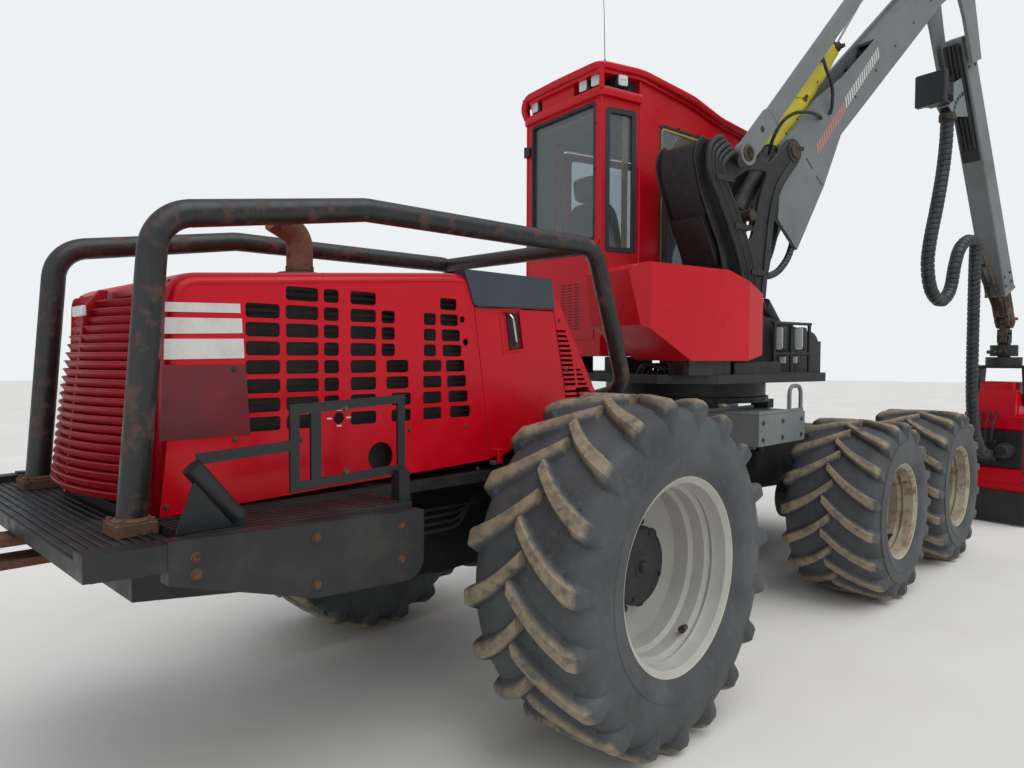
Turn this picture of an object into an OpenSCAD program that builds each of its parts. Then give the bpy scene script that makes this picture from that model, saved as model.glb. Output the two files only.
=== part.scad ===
// Forestry harvester: an articulated six-wheel carrier with a levelled turntable that bears cab and crane.
// The machine's own frame has its rear axle at x = 0, forward along +X, its left side towards +Y and z = 0
// on the ground. Every node is then moved so that the middle of the whole machine stands at the origin.

/* [Placing] */
// How far the machine's middle lies ahead of its rear axle
middle_x = 2440; // [2200:10:2600]
// How far the machine's middle lies to the left of its centre line
middle_y = -200; // [-400:10:100]
// Running gap between pieces that turn or slide on each other
run_gap = 6; // [5:1:10]
// Gap between two pieces that are bolted or pressed together
seat_gap = 0.5; // [0.2:0.1:1]

/* [Rear wheels] */
// Radius of a rear tyre out to its lugs
rear_tyre_r = 800; // [760:5:830]
// Width of a rear tyre
rear_tyre_w = 640; // [560:10:680]
// Radius of a rear rim at its flange
rear_rim_r = 457; // [430:1:480]
// Distance from the centre line to the middle of a rear tyre
rear_track = 1105; // [1080:5:1160]

/* [Bogie wheels] */
// Radius of a bogie tyre out to its lugs
bogie_tyre_r = 655; // [620:5:680]
// Width of a bogie tyre
bogie_tyre_w = 680; // [600:10:700]
// Radius of a bogie rim at its flange
bogie_rim_r = 362; // [340:1:380]
// Distance from the centre line to the middle of a bogie tyre
bogie_track = 1080; // [1070:5:1120]
// Distance from the rear axle to the middle of the bogies
bogie_x = 3730; // [3650:10:3850]
// Distance between the two wheels of one bogie
bogie_span = 1510; // [1440:10:1560]

/* [Tyre tread] */
// Height of a tread lug
lug_h = 45; // [30:1:55]
// Width of a tread lug along the tread
lug_w = 105; // [80:1:130]
// Angle by which a lug lies back from the tread's middle to its edge
lug_lag = 20; // [14:1:26]
// Number of lug pairs on a rear tyre
rear_lugs = 19; // [15:1:22]
// Number of lug pairs on a bogie tyre
bogie_lugs = 17; // [13:1:20]

/* [Frames] */
// Distance from the rear axle to the steering pivot
joint_x = 1600; // [1550:5:1650]
// Width of the two main frame beams' outside
frame_w = 760; // [680:10:820]
// Radius of the steering pin
joint_pin_r = 50; // [40:1:60]
// Front end of the front frame
front_end_x = 4980; // [4900:10:5100]
// Rear end of the rear frame's beams
rear_end_x = -1950; // [-2050:10:-1850]

/* [Hood] */
// Half of the hood's width
hood_half = 570; // [540:5:585]
// Thickness of a hood panel
panel_t = 25; // [15:1:30]
// Height of the hood's lower edge
hood_z = 1225; // [1215:5:1240]
// Height of the hood's top at its rear end
hood_rear_z = 2050; // [1990:5:2070]
// Height of the hood's top at its highest point
hood_top_z = 2155; // [2120:5:2175]
// Height of an air opening in the hood's side
vent_h = 53; // [40:1:58]
// Distance from one row of air openings to the next
vent_step = 70; // [64:1:72]
// Number of fins in the rear grille
grille_fins = 21; // [14:1:24]
// Sideways gap round the service door
door_gap = 8; // [6:1:12]

/* [Guard] */
// Radius of a guard tube
guard_r = 47.5; // [40:0.5:55]
// Radius of a guard tube's bends along the tube's middle
guard_bend = 150; // [110:5:180]
// Distance from the centre line to a guard tube
guard_y = 590; // [570:5:620]
// Distance from the rear axle to the guard's cross tube at its front bends
guard_front_x = 366; // [340:1:390]
// Height of the guard's top at its front bends
guard_top_z = 2370; // [2350:5:2400]

/* [Turntable] */
// Distance from the rear axle to the slewing centre
slew_x = 2250; // [2230:5:2270]
// Angle by which the turntable stands turned to the right when parked
slew_park = 10; // [0:1:20]
// Radius of the slewing ring
ring_r = 610; // [560:5:640]
// Height of the slewing ring's lower face
ring_z = 1490; // [1470:5:1510]
// Height of the slewing ring
ring_h = 110; // [80:5:120]
// Thickness of the turntable's deck plate
deck_t = 60; // [40:5:80]

/* [Cab] */
// Height of the cab's floor
cab_z = 1780; // [1760:5:1800]
// Height of the lower edge of the cab's windows
sill_z = 2500; // [2420:10:2600]
// Height of the cab's roof
roof_z = 3720; // [3650:10:3760]
// Thickness of a cab wall
wall_t = 55; // [40:5:70]

/* [Tank] */
// Height of the tank's lower face
tank_z = 1750; // [1720:5:1780]
// Height of the tank's top
tank_top_z = 2330; // [2280:5:2360]

/* [Crane] */
// Offset of the crane's plane to the right of the slewing centre
crane_t = 490; // [460:5:520]
// Half of the boom's width
boom_half = 130; // [115:5:140]
// Half of the stick's width
stick_half = 95; // [85:5:105]
// Radius of the crane's main pins
pin_r = 40; // [30:1:45]
// Thickness of a crane side plate
plate_t = 30; // [20:1:35]
// How far the stick's inner section reaches out of the stick
tip_out = 330; // [250:10:400]
// Depth of the stick's inner section
inner_d = 170; // [150:5:190]

/* [Head] */
// Width of the harvester head's frame
head_w = 620; // [560:10:680]
// Depth of the harvester head's frame
head_d = 330; // [280:10:380]
// Radius of a feed roller out to its teeth
roller_r = 165; // [140:5:190]
// Number of rows of teeth round a feed roller
roller_rows = 14; // [10:1:18]

/* [Hidden] */
$fn = 48;

red = [0.78, 0.06, 0.10];
black = [0.09, 0.09, 0.10];
grey = [0.42, 0.44, 0.45];
cream = [0.75, 0.70, 0.58];
rubber = [0.16, 0.16, 0.17];
chrome = [0.75, 0.75, 0.77];

// Crane pins in the crane's plane: distance ahead of the slewing centre, and height
lever_pin = [-140, 1980];
boom_pin = [430, 3300];
tie_low = [-200, 3170];
fold_low = [-50, 2780];
stick_pin = [3050, 5400];
tie_high = [2400, 5957];
fold_high = [2250, 5670];
tip_pin = [4550, 2180];
lift_low = [620, 1800];
lift_high = [70, 2400];
// How far the tie bar stands beside the crane's plane
tie_side = 210;
cheek_in = boom_half + run_gap;

// Lower end of the head when it hangs from the crane
cross_z = tip_pin[1] - 190;
rotator_z = cross_z - 150;
tilt_z = 1330;
head_low_z = 12;
// Pins of the head's knives and feed arms
claw_x = 225;
claw_y = 230;

function heading(a, b) = atan2(b[1] - a[1], b[0] - a[0]);
// Points of an arc in a plane: middle, radius, first and last angle, number of steps
function arc(c, r, a0, a1, n) = [for (i = [0:n]) c + r * [cos(a0 + (a1 - a0) * i / n), sin(a0 + (a1 - a0) * i / n)]];

// Moves a machine-frame shape into the part's own frame
module placed() translate([-middle_x, -middle_y, 0]) children();
// Stands a shape on the turntable: x ahead, y to the left of the slewing centre
module slewed() translate([slew_x, 0, 0]) rotate([0, 0, -slew_park]) children();
// Lays a shape drawn in x and z into the crane's plane
module craned() slewed() translate([0, -crane_t, 0]) children();
// Draws a flat outline of x and z, as thick as w about the plane y = mid
module plate(w, mid = 0) translate([0, mid + w / 2, 0]) rotate([90, 0, 0]) linear_extrude(w) children();
// A round bar across the crane's plane at pin p, between two sides
module cross_bar(p, r, y0, y1) translate([p[0], y1, p[1]]) rotate([90, 0, 0]) cylinder(r = r, h = y1 - y0);
// Turns children so that their x axis runs from pin a towards pin b
module along(a, b) translate([a[0], 0, a[1]]) rotate([0, -heading(a, b), 0]) children();
// A round bar along x, from x0 to x1
module rod_x(r, x0, x1) translate([x0, 0, 0]) rotate([0, 90, 0]) cylinder(r = r, h = x1 - x0);
// An upright block from its low corner to its high corner
module block(a, b) translate(a) cube(b - a);
// Draws on both sides of the machine
module both() {
    children();
    mirror([0, 1, 0]) children();
}

// A bend is thinner than its straight stretches by this step, and reaches into them by this lap
weld_step = 0.6;
weld_lap = 3;
// One bend of a tube: p corner, d1 and d2 directions before and after it
module bend(p, d1, d2, br, r) {
    turn = acos(max(-1, min(1, d1 * d2)));
    side = (d2 - d1) / norm(d2 - d1);
    c = p + side * br / cos(turn / 2);
    ex = (p - d1 * br * tan(turn / 2) - c) / br;
    ez = cross(ex, d1);
    multmatrix([
        [ex[0], d1[0], ez[0], c[0]],
        [ex[1], d1[1], ez[1], c[1]],
        [ex[2], d1[2], ez[2], c[2]],
        [0, 0, 0, 1]
    ]) rotate_extrude(angle = turn) translate([br, 0]) circle(r - weld_step);
}
// A straight stretch of tube from a to b
module run_tube(a, b, r) {
    d = (b - a) / norm(b - a);
    tilt = acos(d[2]);
    spin = atan2(d[1], d[0]);
    translate(a) rotate([0, tilt, spin]) cylinder(r = r, h = norm(b - a));
}
// A tube along corner points, with a bend of radius br at each inner corner
module bent_tube(pts, br, r) {
    n = len(pts) - 1;
    d = [for (i = [0:n - 1]) (pts[i + 1] - pts[i]) / norm(pts[i + 1] - pts[i])];
    back = [for (i = [0:n]) (i == 0 || i == n) ? 0 : br * tan(acos(d[i - 1] * d[i]) / 2)];
    for (i = [0:n - 1]) {
        a = pts[i] + d[i] * (back[i] - (i > 0 ? weld_lap : 0));
        b = pts[i + 1] - d[i] * (back[i + 1] - (i < n - 1 ? weld_lap : 0));
        run_tube(a, b, r);
    }
    for (i = [1:n - 1]) bend(pts[i], d[i - 1], d[i], br, r);
}

// Wheels. Each is drawn about the z axis with its outer side upwards, then laid on its side.
module tyre_shape(r, w, bead, lugs) {
    h = w / 2;
    low = r - lug_h;
    rotate_extrude($fn = 72) polygon([
        [bead, -h + 51], [bead + 34, -h + 51], [bead + 58, -h + 14], [bead + (r - bead) * 0.55, -h],
        [low - 45, -h + 22], [low - 12, -h + 90], [low - 12, h - 90], [low - 45, h - 22],
        [bead + (r - bead) * 0.55, h], [bead + 58, h - 14], [bead + 34, h - 51], [bead, h - 51]
    ]);
    tread_half(r, h, lugs);
    mirror([0, 0, 1]) rotate(180 / lugs) tread_half(r, h, lugs);
}
// One side's lugs: a toothed ring, twisted so that each lug lies back from the middle to the edge.
// Its teeth start lug_root below the casing's crown, so that they stand out at the shoulder too.
lug_root = 48;
module tread_half(r, h, lugs) {
    foot_r = r - lug_h - lug_root;
    top = lug_w / r * 90 / PI;
    foot = top * (1 + 0.5 * (lug_h + lug_root) / lug_h);
    pitch = 360 / lugs;
    difference() {
        translate([0, 0, -1]) linear_extrude(height = h - 16, twist = -lug_lag, scale = 0.99, slices = 2) polygon([
            for (i = [0:lugs - 1]) for (p = [[-foot, foot_r], [-top, r / 0.9995], [top, r / 0.9995], [foot, foot_r]])
                [p[1] * cos(i * pitch + p[0]), p[1] * sin(i * pitch + p[0])]
        ]);
        translate([0, 0, -2]) cylinder(r = foot_r - 50, h = h);
    }
}
// Inner face of a wheel's disc, measured outwards from the tyre's middle
disc_z = -20;
// Radius of the stub axle on which a wheel turns, and how far it reaches into the hub
stub_r = 60;
stub_in = 48;
module rim_shape(r, w, hub_r) difference() {
    rim_body(r, w, hub_r);
    translate([0, 0, disc_z - 60]) cylinder(r = stub_r + 0.1, h = 60 + stub_in + 2);
}
module rim_body(r, w, hub_r) {
    h = w / 2 - 30;
    seat = r - 30;
    // Flange, bead seat, barrel and disc as one turned profile
    rotate_extrude($fn = 72) polygon([
        [r, h], [r, h - 12], [seat, h - 20], [seat - 4, h - 90], [seat - 42, h - 120], [seat - 42, -h + 120],
        [seat - 4, -h + 90], [seat, -h + 20], [r, -h + 12], [r, -h], [seat - 18, -h], [seat - 22, -h + 90],
        [seat - 60, -h + 130], [seat - 60, -50], [hub_r + 40, disc_z], [0, disc_z], [0, disc_z + 26],
        [hub_r + 40, disc_z + 26], [seat - 60, -24], [seat - 60, h - 130], [seat - 22, h - 90], [seat - 18, h]
    ]);
    // Hub housing with its cover and ring of bolts
    translate([0, 0, disc_z + 20]) cylinder(r = hub_r, h = 70);
    translate([0, 0, disc_z + 85]) cylinder(r = hub_r * 0.62, h = 30);
    for (i = [0:9]) rotate([0, 0, 36 * i]) translate([hub_r + 20, 0, disc_z + 20]) cylinder(r = 13, h = 24, $fn = 24);
}
module wheel_at(x, y, z, side) translate([x, side * y, z]) mirror([0, side > 0 ? 1 : 0, 0]) rotate([90, 0, 0]) children();
module rear_tyre(side) placed() wheel_at(0, rear_track, rear_tyre_r, side)
    tyre_shape(rear_tyre_r, rear_tyre_w, rear_rim_r - 30 + seat_gap, rear_lugs);
module rear_rim(side) placed() wheel_at(0, rear_track, rear_tyre_r, side) rim_shape(rear_rim_r, rear_tyre_w, 185);
module bogie_tyre(end, side) placed() wheel_at(bogie_x + end * bogie_span / 2, bogie_track, bogie_tyre_r, side)
    tyre_shape(bogie_tyre_r, bogie_tyre_w, bogie_rim_r - 30 + seat_gap, bogie_lugs);
module bogie_rim(end, side) placed() wheel_at(bogie_x + end * bogie_span / 2, bogie_track, bogie_tyre_r, side)
    rim_shape(bogie_rim_r, bogie_tyre_w, 150);

// Frames
module front_frame() color(black) placed() {
    half = frame_w / 2;
    both() plate(40, half - 20) polygon([
        [joint_x + 420, 760], [bogie_x - 500, 700], [front_end_x - 300, 700], [front_end_x, 860],
        [front_end_x, 1080], [bogie_x + 500, 1080], [slew_x + 700, 1180], [joint_x + 420, 1180]
    ]);
    block([joint_x + 380, -half, 760], [joint_x + 420, half, 1180]);
    block([joint_x + 420, -half + 40, 1140], [slew_x + 700, half - 40, 1180]);
    block([bogie_x - 480, -half + 40, 700], [front_end_x - 300, half - 40, 740]);
    block([front_end_x - 40, -half + 40, 860], [front_end_x, half - 40, 1080]);
    block([bogie_x + 500, -half + 40, 1040], [front_end_x - 40, half - 40, 1080]);
    // Lugs of the steering joint, above and below those of the rear frame
    for (z = [[760, 830], [1090, 1160]]) difference() {
        union() {
            translate([joint_x, 0, z[0]]) cylinder(r = 130, h = z[1] - z[0]);
            block([joint_x, -130, z[0]], [joint_x + 382, 130, z[1]]);
        }
        translate([joint_x, 0, z[0] - 5]) cylinder(r = joint_pin_r, h = 90);
    }
    // Axle tube that carries the bogies
    translate([bogie_x, bogie_in - seat_gap, 790]) rotate([90, 0, 0]) cylinder(r = 130, h = 2 * (bogie_in - seat_gap));
}
bogie_in = 500;
// The bogie's case reaches to within this gap of its tyres
bogie_gap = 40;
bogie_out = bogie_track - bogie_tyre_w / 2 - bogie_gap;
module bogie_case() {
    zc = bogie_tyre_r;
    half = bogie_span / 2;
    plate(bogie_out - bogie_in, -(bogie_in + bogie_out) / 2) polygon(concat(
        [for (p = arc([bogie_x - half, zc], 175, 110, 250, 8)) p],
        [[bogie_x, zc - 150]],
        [for (p = arc([bogie_x + half, zc], 175, -70, 70, 8)) p],
        [[bogie_x + 190, zc + 270], [bogie_x - 190, zc + 270]]
    ));
    for (s = [-1, 1]) translate([bogie_x + s * half, -bogie_out + 20, zc]) rotate([90, 0, 0])
        cylinder(r = 120, h = bogie_track + disc_z - run_gap - bogie_out + 20);
    for (s = [-1, 1]) translate([bogie_x + s * half, -bogie_out - 100, zc]) rotate([90, 0, 0])
        cylinder(r = stub_r, h = bogie_track + disc_z + stub_in - bogie_out - 100);
}
module bogie_right() color(black) placed() bogie_case();
module bogie_left() color(black) placed() mirror([0, 1, 0]) bogie_case();

// Levelling cradle under the slewing ring
module leveller() color(black) placed() translate([slew_x, 0, 0]) {
    translate([0, 0, ring_z - 45]) cylinder(r = ring_r + 20, h = 45 - run_gap);
    translate([0, 0, 1180 + seat_gap]) cylinder(r = 300, h = 90);
    translate([0, 0, 1265]) cylinder(r = 200, h = ring_z - 1265 - 40);
    translate([0, 0, ring_z - 20]) cylinder(r = 80, h = 80);
    for (s = [-1, 1]) for (e = [-1, 1]) translate([e * 430, s * (frame_w / 2 + 62 + seat_gap), 0]) {
        translate([0, 0, 1040]) cylinder(r = 62, h = 240);
        translate([0, 0, 1270]) cylinder(r = 34, h = ring_z - 1270 - 40);
        block([-45, s > 0 ? -62 : -20, 1060], [45, s > 0 ? 20 : 62, 1110]);
        block([-50, -70, ring_z - 110], [50, 70, ring_z - 40]);
    }
}

// Radius of a grab hoop's tube, and its gap below the turntable's deck
hoop_r = 14;
hoop_gap = 8;
// Step box with its grab hoop, at the side of the front frame
module front_step() color(grey) placed() both() {
    difference() {
        block([1600, -950, 1200], [2290, -560, 1400]);
        block([1630, -920, 1230], [2260, -590, 1420]);
    }
    // Arms that carry the box on the frame
    for (x = [2060, 2200]) block([x, -570, 1100], [x + 50, -frame_w / 2 - seat_gap, 1160]);
    for (x = [2060, 2200]) block([x, -610, 1100], [x + 50, -560, 1205]);
    // The hoop ends below the turntable's deck, which turns over it
    top = ring_z + ring_h - hoop_r - hoop_gap;
    bent_tube([[2070, -935, 1380], [2070, -935, top], [2250, -935, top], [2250, -935, 1380]], 60, hoop_r);
}

module rear_frame() color(black) placed() {
    half = frame_w / 2;
    both() plate(40, half - 20) difference() {
        polygon([
            [joint_x - 420, 780], [560, 760], [-560, 720], [rear_end_x, 900], [rear_end_x, 1060],
            [-560, 1150], [joint_x - 900, 1150], [joint_x - 420, 1120]
        ]);
        // Arch over the rear axle
        translate([0, rear_tyre_r]) circle(110 + seat_gap);
        translate([-110 - seat_gap, 600]) square([220 + 2 * seat_gap, rear_tyre_r - 600]);
    }
    // Posts under the guard's front feet
    both() block([595, -445, 1100], [685, -half + 5, 1475 - seat_gap]);
    block([joint_x - 420, -half, 780], [joint_x - 380, half, 1120]);
    block([rear_end_x, -half + 40, 900], [rear_end_x + 40, half - 40, 1060]);
    block([-560, -half + 40, 1110], [joint_x - 900, half - 40, 1150]);
    difference() {
        union() {
            translate([joint_x, 0, 836]) cylinder(r = 120, h = 248);
            block([joint_x - 382, -120, 836], [joint_x, 120, 1084]);
        }
        translate([joint_x, 0, 950]) cylinder(r = 175, h = 40);
    }
    translate([joint_x, 0, 766]) cylinder(r = joint_pin_r - 0.5, h = 394);
    // Deck plates on which the hood stands
    block([-1950, -hood_half - 20, hood_z - 45], [480, hood_half + 20, hood_z - seat_gap]);
    for (x = [-1700, -900, 300]) both() block([x - 30, 120, 1100], [x + 30, hood_half, hood_z - 44]);
}
module rear_axle() color(black) placed() {
    reach = rear_track + disc_z - run_gap;
    translate([0, reach, rear_tyre_r]) rotate([90, 0, 0]) cylinder(r = 110, h = 2 * reach);
    translate([0, 0, rear_tyre_r - 10]) sphere(r = 220);
    both() translate([0, -reach + 140, rear_tyre_r]) rotate([90, 0, 0]) cylinder(r = 160, h = 120);
    both() translate([0, -reach + 50, rear_tyre_r]) rotate([90, 0, 0]) cylinder(r = stub_r, h = 50 + run_gap + stub_in);
}
module engine() color(grey) placed() block([-1500, -380, hood_z], [-250, 380, 1950]);

module bumper() color(black) placed() {
    both() difference() {
        plate(60, -910) polygon(concat(
            [[-2030, 1100], [-1550, 955]],
            [for (p = arc([-1170, 1010], 75, -90, 0, 5)) p],
            [[-1095, 1190], [-2030, 1228]]
        ));
    }
    // Side decks with their grooves, between hood and side plate
    both() difference() {
        block([-1940, -885, 1180], [-1110, -hood_half - 20 - seat_gap, 1215]);
        for (i = [0:6]) block([-1960, -860 + i * 38, 1203], [-1150, -846 + i * 38, 1220]);
    }
    // Half-round rear deck with its thick rim
    difference() {
        translate([-1950 - seat_gap, 0, 1140]) cylinder(r = 940, h = 80, $fn = 96);
        block([-1950 - seat_gap, -1000, 1100], [-900, 1000, 1300]);
        block([-3000, -1000, 1100], [-2240, 1000, 1300]);
        translate([-1950, 0, 1190]) cylinder(r = 860, h = 90, $fn = 96);
    }
}
module hitch() color([0.35, 0.22, 0.15]) placed() {
    for (z = [1015, 1095]) difference() {
        union() {
            block([-2420, -70, z], [-1955, 70, z + 30]);
            translate([-2420, 0, z]) cylinder(r = 70, h = 30);
        }
        translate([-2420, 0, z - 5]) cylinder(r = 30, h = 40);
    }
    block([-2010, -120, 920], [rear_end_x - seat_gap, 120, 1125]);
}

// Guard of two bent tubes beside the hood, joined by cross tubes
module guard() color(black) placed() {
    y = guard_y;
    foot = [660, 1580];
    both() {
        bent_tube([
            [-2015, -y, hood_z], [-1930, -y, 2230], [-1115, -y, guard_top_z - 10], [guard_front_x, -y, guard_top_z],
            [foot[0], -y, foot[1]], [foot[0] - 20, -400, 1530]
        ], guard_bend, guard_r);
        block([-2080, -y - 60, 1190 + seat_gap], [-1955, -y + 60, hood_z + 5]);
        block([595, -445, 1475], [685, -360, 1520]);
    }
    translate([guard_front_x - 60, y, guard_top_z - 4]) rotate([90, 0, 0]) cylinder(r = guard_r - 6, h = 2 * y);
}

module hood_outer(g) {
    // Side view and cross-section, both drawn smaller by g
    intersection() {
        plate(2 * hood_half - 2 * g) polygon([
            [-1925 + g, hood_z - (g > 0 ? 10 : 0)], [-1880 + g, hood_rear_z - g], [-600, hood_top_z - g],
            [70 - g, hood_top_z - 30 - g], [460 - g, 1520], [500 - g, hood_z - (g > 0 ? 10 : 0)]
        ]);
        translate([-2100, 0, 0]) rotate([90, 0, 90]) linear_extrude(2800) polygon(concat(
            [[hood_half - g, hood_z - 20], [hood_half - g, hood_top_z - 90]],
            [for (p = arc([hood_half - 70, hood_top_z - 70], 70 - g, 10, 90, 5)) p],
            [for (p = arc([-hood_half + 70, hood_top_z - 70], 70 - g, 90, 170, 5)) p],
            [[-hood_half + g, hood_top_z - 90], [-hood_half + g, hood_z - 20]]
        ));
    }
}
// Outline of the service door, drawn smaller by g
module door_outline(g) polygon([
    [-505 + g, 2010 - g], [58 - g, 2010 - g], [180 - g, 1425], [155 - g, 1400 + g], [-60, 1400 + g], [-330, 1275 + g], [-393 + g, 1275 + g]
]);
// Hinge line of the service door: away from the centre line, and height
flap_pin = [590, 1262];
flap_knuckles = [[-382, 1285], [60, 1410]];
module hood() color(red) placed() {
    hood_shell();
    for (k = flap_knuckles) {
        block([k[0] - 20, -flap_pin[0] - 10, flap_pin[1] - 12], [k[0], -hood_half + 5, flap_pin[1] + 10]);
        translate([k[0] - 5, -flap_pin[0], flap_pin[1]]) rotate([0, 90, 0]) cylinder(r = 6, h = 45);
    }
}
module hood_shell() difference() {
    hood_outer(0);
    hood_outer(panel_t);
    // Opening for the rear grille
    block([-2200, -hood_half + 60, hood_z + 30], [-1700, hood_half - 60, hood_rear_z - 60]);
    // Opening for the service door on the right side
    translate([0, -hood_half + panel_t + 20, 0]) rotate([90, 0, 0]) linear_extrude(200) door_outline(0);
    // Hole for the exhaust stack
    translate([-1080, 0, 2000]) cylinder(r = 75, h = 400);
    // Air openings of the sides
    both() for (c = vents) for (row = [c[2]:c[3]])
        block([c[0], -hood_half - 20, vent_top - vent_h - row * vent_step], [c[1], -hood_half + panel_t + 20, vent_top - row * vent_step]);
}
// Columns of air openings: rear edge, front edge, first and last row counted from the top
vents = [
    [-1615, -1482, 1, 7], [-1457, -1320, 0, 7], [-1296, -1229, 0, 6], [-1175, -1052, 0, 7],
    [-1024, -956, 1, 3], [-1000, -885, 4, 7], [-805, -705, 4, 7], [-800, -732, 1, 3], [-700, -600, 0, 3], [-668, -552, 4, 7]
];
vent_top = 2032;
module service_door() color(red) placed() {
    translate([0, -hood_half + panel_t, 0]) rotate([90, 0, 0]) linear_extrude(panel_t) door_outline(door_gap);
    block([-240, -hood_half - 14, 1830], [-190, -hood_half + 2, 1960]);
    for (k = flap_knuckles) difference() {
        union() {
            translate([k[0] + 6, -flap_pin[0], flap_pin[1]]) rotate([0, 90, 0]) cylinder(r = 12, h = 32);
            block([k[0] + 6, -flap_pin[0] - 12, flap_pin[1]], [k[0] + 38, -hood_half - 6, k[1] + 40]);
            block([k[0] + 6, -flap_pin[0], k[1] + 5], [k[0] + 38, -hood_half + 5, k[1] + 40]);
        }
        translate([k[0], -flap_pin[0], flap_pin[1]]) rotate([0, 90, 0]) cylinder(r = 6.1, h = 60);
    }
}
// Rear grille: curved fins between two posts
module grille() color([0.45, 0.05, 0.08]) placed() {
    y = hood_half - 60 - seat_gap;
    bulge = 150;
    gr = (y * y + bulge * bulge) / (2 * bulge);
    cx = -1935 - bulge + gr;
    step = (hood_rear_z - 70 - hood_z - 40) / grille_fins;
    for (i = [0:grille_fins - 1]) translate([cx + 20 + i * 2, 0, hood_z + 40 + i * step]) intersection() {
        difference() {
            cylinder(r = gr, h = 14, $fn = 96);
            translate([0, 0, -1]) cylinder(r = gr - 60, h = 16, $fn = 96);
        }
        block([-gr - 1, -y, -1], [-gr + bulge + 60, y, 15]);
    }
    for (s = [-1, 1]) block([-1935, s * (y - 15) - 15, hood_z + 32], [-1850, s * (y - 15) + 15, hood_rear_z - 62]);
    block([-2085, -25, hood_z + 32], [-1990, 25, hood_rear_z - 62]);
}
module exhaust() color([0.36, 0.20, 0.13]) placed() {
    translate([-1080, 0, 1950 + seat_gap]) cylinder(r = 60, h = 284);
    bent_tube([[-1080, 0, 2230], [-1080, 0, 2330], [-1210, 0, 2390]], 90, 60);
}
module side_step() color(black) placed() {
    y = -800;
    t = 12;
    plate(t, y) difference() {
        polygon([[-1570, 1295], [-1080, 1315], [-1080, 1620], [-1570, 1600]]);
        polygon([[-1535, 1330], [-1490, 1332], [-1490, 1568], [-1535, 1566]]);
        polygon([[-1450, 1334], [-1115, 1348], [-1115, 1587], [-1450, 1570]]);
    }
    plate(t, y) polygon([[-1890, 1425], [-1570, 1440], [-1570, 1475], [-1890, 1460]]);
    run_tube([-1905, y, 1420], [-1760, y, 1240], 32);
    plate(t, y - 10) polygon([[-1960, 1215.5], [-1740, 1215.5], [-1740, 1260], [-1860, 1380], [-1900, 1380]]);
    block([-1135, y - 40, 1215 + seat_gap], [-1085, y + 10, 1330]);
}

// Turntable
module turntable() color(black) placed() slewed() {
    difference() {
        translate([0, 0, ring_z]) cylinder(r = ring_r, h = ring_h + 5);
        translate([0, 0, ring_z - 1]) cylinder(r = 80.1, h = 67);
    }
    translate([0, 0, ring_z + ring_h]) linear_extrude(deck_t) polygon([
        [-950, -620], [-950, 660], [-640, 860], [700, 780], [820, 500], [820, -700], [560, -860], [-640, -860]
    ]);
    top = ring_z + ring_h + deck_t - 2;
    // Legs under the cab and the tank
    for (p = [[-800, 300], [600, 300]]) block([p[0] - 60, p[1] - 60, top], [p[0] + 60, p[1] + 60, cab_z - seat_gap]);
    block([-900, -840, top], [-500, -700, tank_z - seat_gap]);
    // Cheeks that hold the lever's pin and the lift cylinder's foot
    for (s = [-1, 1]) translate([0, -crane_t, 0]) difference() {
        plate(plate_t, s * (cheek_in + plate_t + run_gap + plate_t / 2)) polygon(concat(
            [[-380, top], [760, top], [760, 1900]],
            [for (p = arc([620, 1860], 110, 20, 100, 4)) p],
            [for (p = arc(lever_pin, 160, 40, 180, 8)) p]
        ));
        translate([lever_pin[0], 400, lever_pin[1]]) rotate([90, 0, 0]) cylinder(r = pin_r + 0.1, h = 800);
    }
    translate([0, -crane_t, 0]) cross_bar(lift_low, pin_r - 8, -cheek_in - plate_t - run_gap - 5, cheek_in + plate_t + run_gap + 5);
}
module tank() color(red) placed() slewed() {
    intersection() {
        translate([0, -640, 0]) plate(520) polygon([
            [-1390, tank_top_z - 40], [-1310, tank_top_z], [-600, tank_top_z], [-390, tank_top_z - 60],
            [-180, tank_top_z - 130], [-180, tank_z + 40], [-400, tank_z], [-950, tank_z], [-1340, 1960]
        ]);
        translate([0, 0, 1500]) linear_extrude(1000) polygon([
            [-1300, -900], [-390, -900], [-180, -850], [-180, -745], [-790, -745], [-790, -420], [-1390, -420], [-1390, -800]
        ]);
    }
}

// Cab: plan of its corners, ahead of and to the left of the slewing centre
cab_plan = [
    [-950, -70], [-630, -120], [750, 10], [930, 190], [930, 560], [750, 745], [-630, 870], [-950, 800]
];
cab_mid = [0, 330];
// The plan moved inwards by about g
function inward(g) = [for (p = cab_plan) p + (cab_mid - p) / norm(cab_mid - p) * g * 1.25];
// Hinge line of the cab door in its wall: along the wall, and away from it
door_pin = [1322, -22];
door_knuckles = [cab_z + 200, cab_z + 900, cab_z + 1550];
// Height of the lower edge of the door's window
door_sill = 2350;
module cab() color(red) placed() slewed() {
    cab_shell();
    along_wall([750, 745], [-630, 870]) for (z = door_knuckles) {
        block([door_pin[0] - 7, door_pin[1] - 12, z], [door_pin[0] + 28, 3, z + 30]);
        translate([door_pin[0], door_pin[1], z + 20]) cylinder(r = 8, h = 58);
    }
}
module cab_shell() difference() {
    union() {
        translate([0, 0, cab_z]) linear_extrude(roof_z - cab_z) polygon(cab_plan);
        translate([0, 0, roof_z - 40]) linear_extrude(80) polygon([for (p = cab_plan) p + (p - cab_mid) / norm(p - cab_mid) * 35]);
        translate([-300, 330, roof_z + 38]) linear_extrude(60) square([620, 520], center = true);
    }
    translate([0, 0, cab_z + 50]) linear_extrude(roof_z - cab_z - 110) polygon(inward(wall_t));
    cab_openings(0);
}
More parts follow.
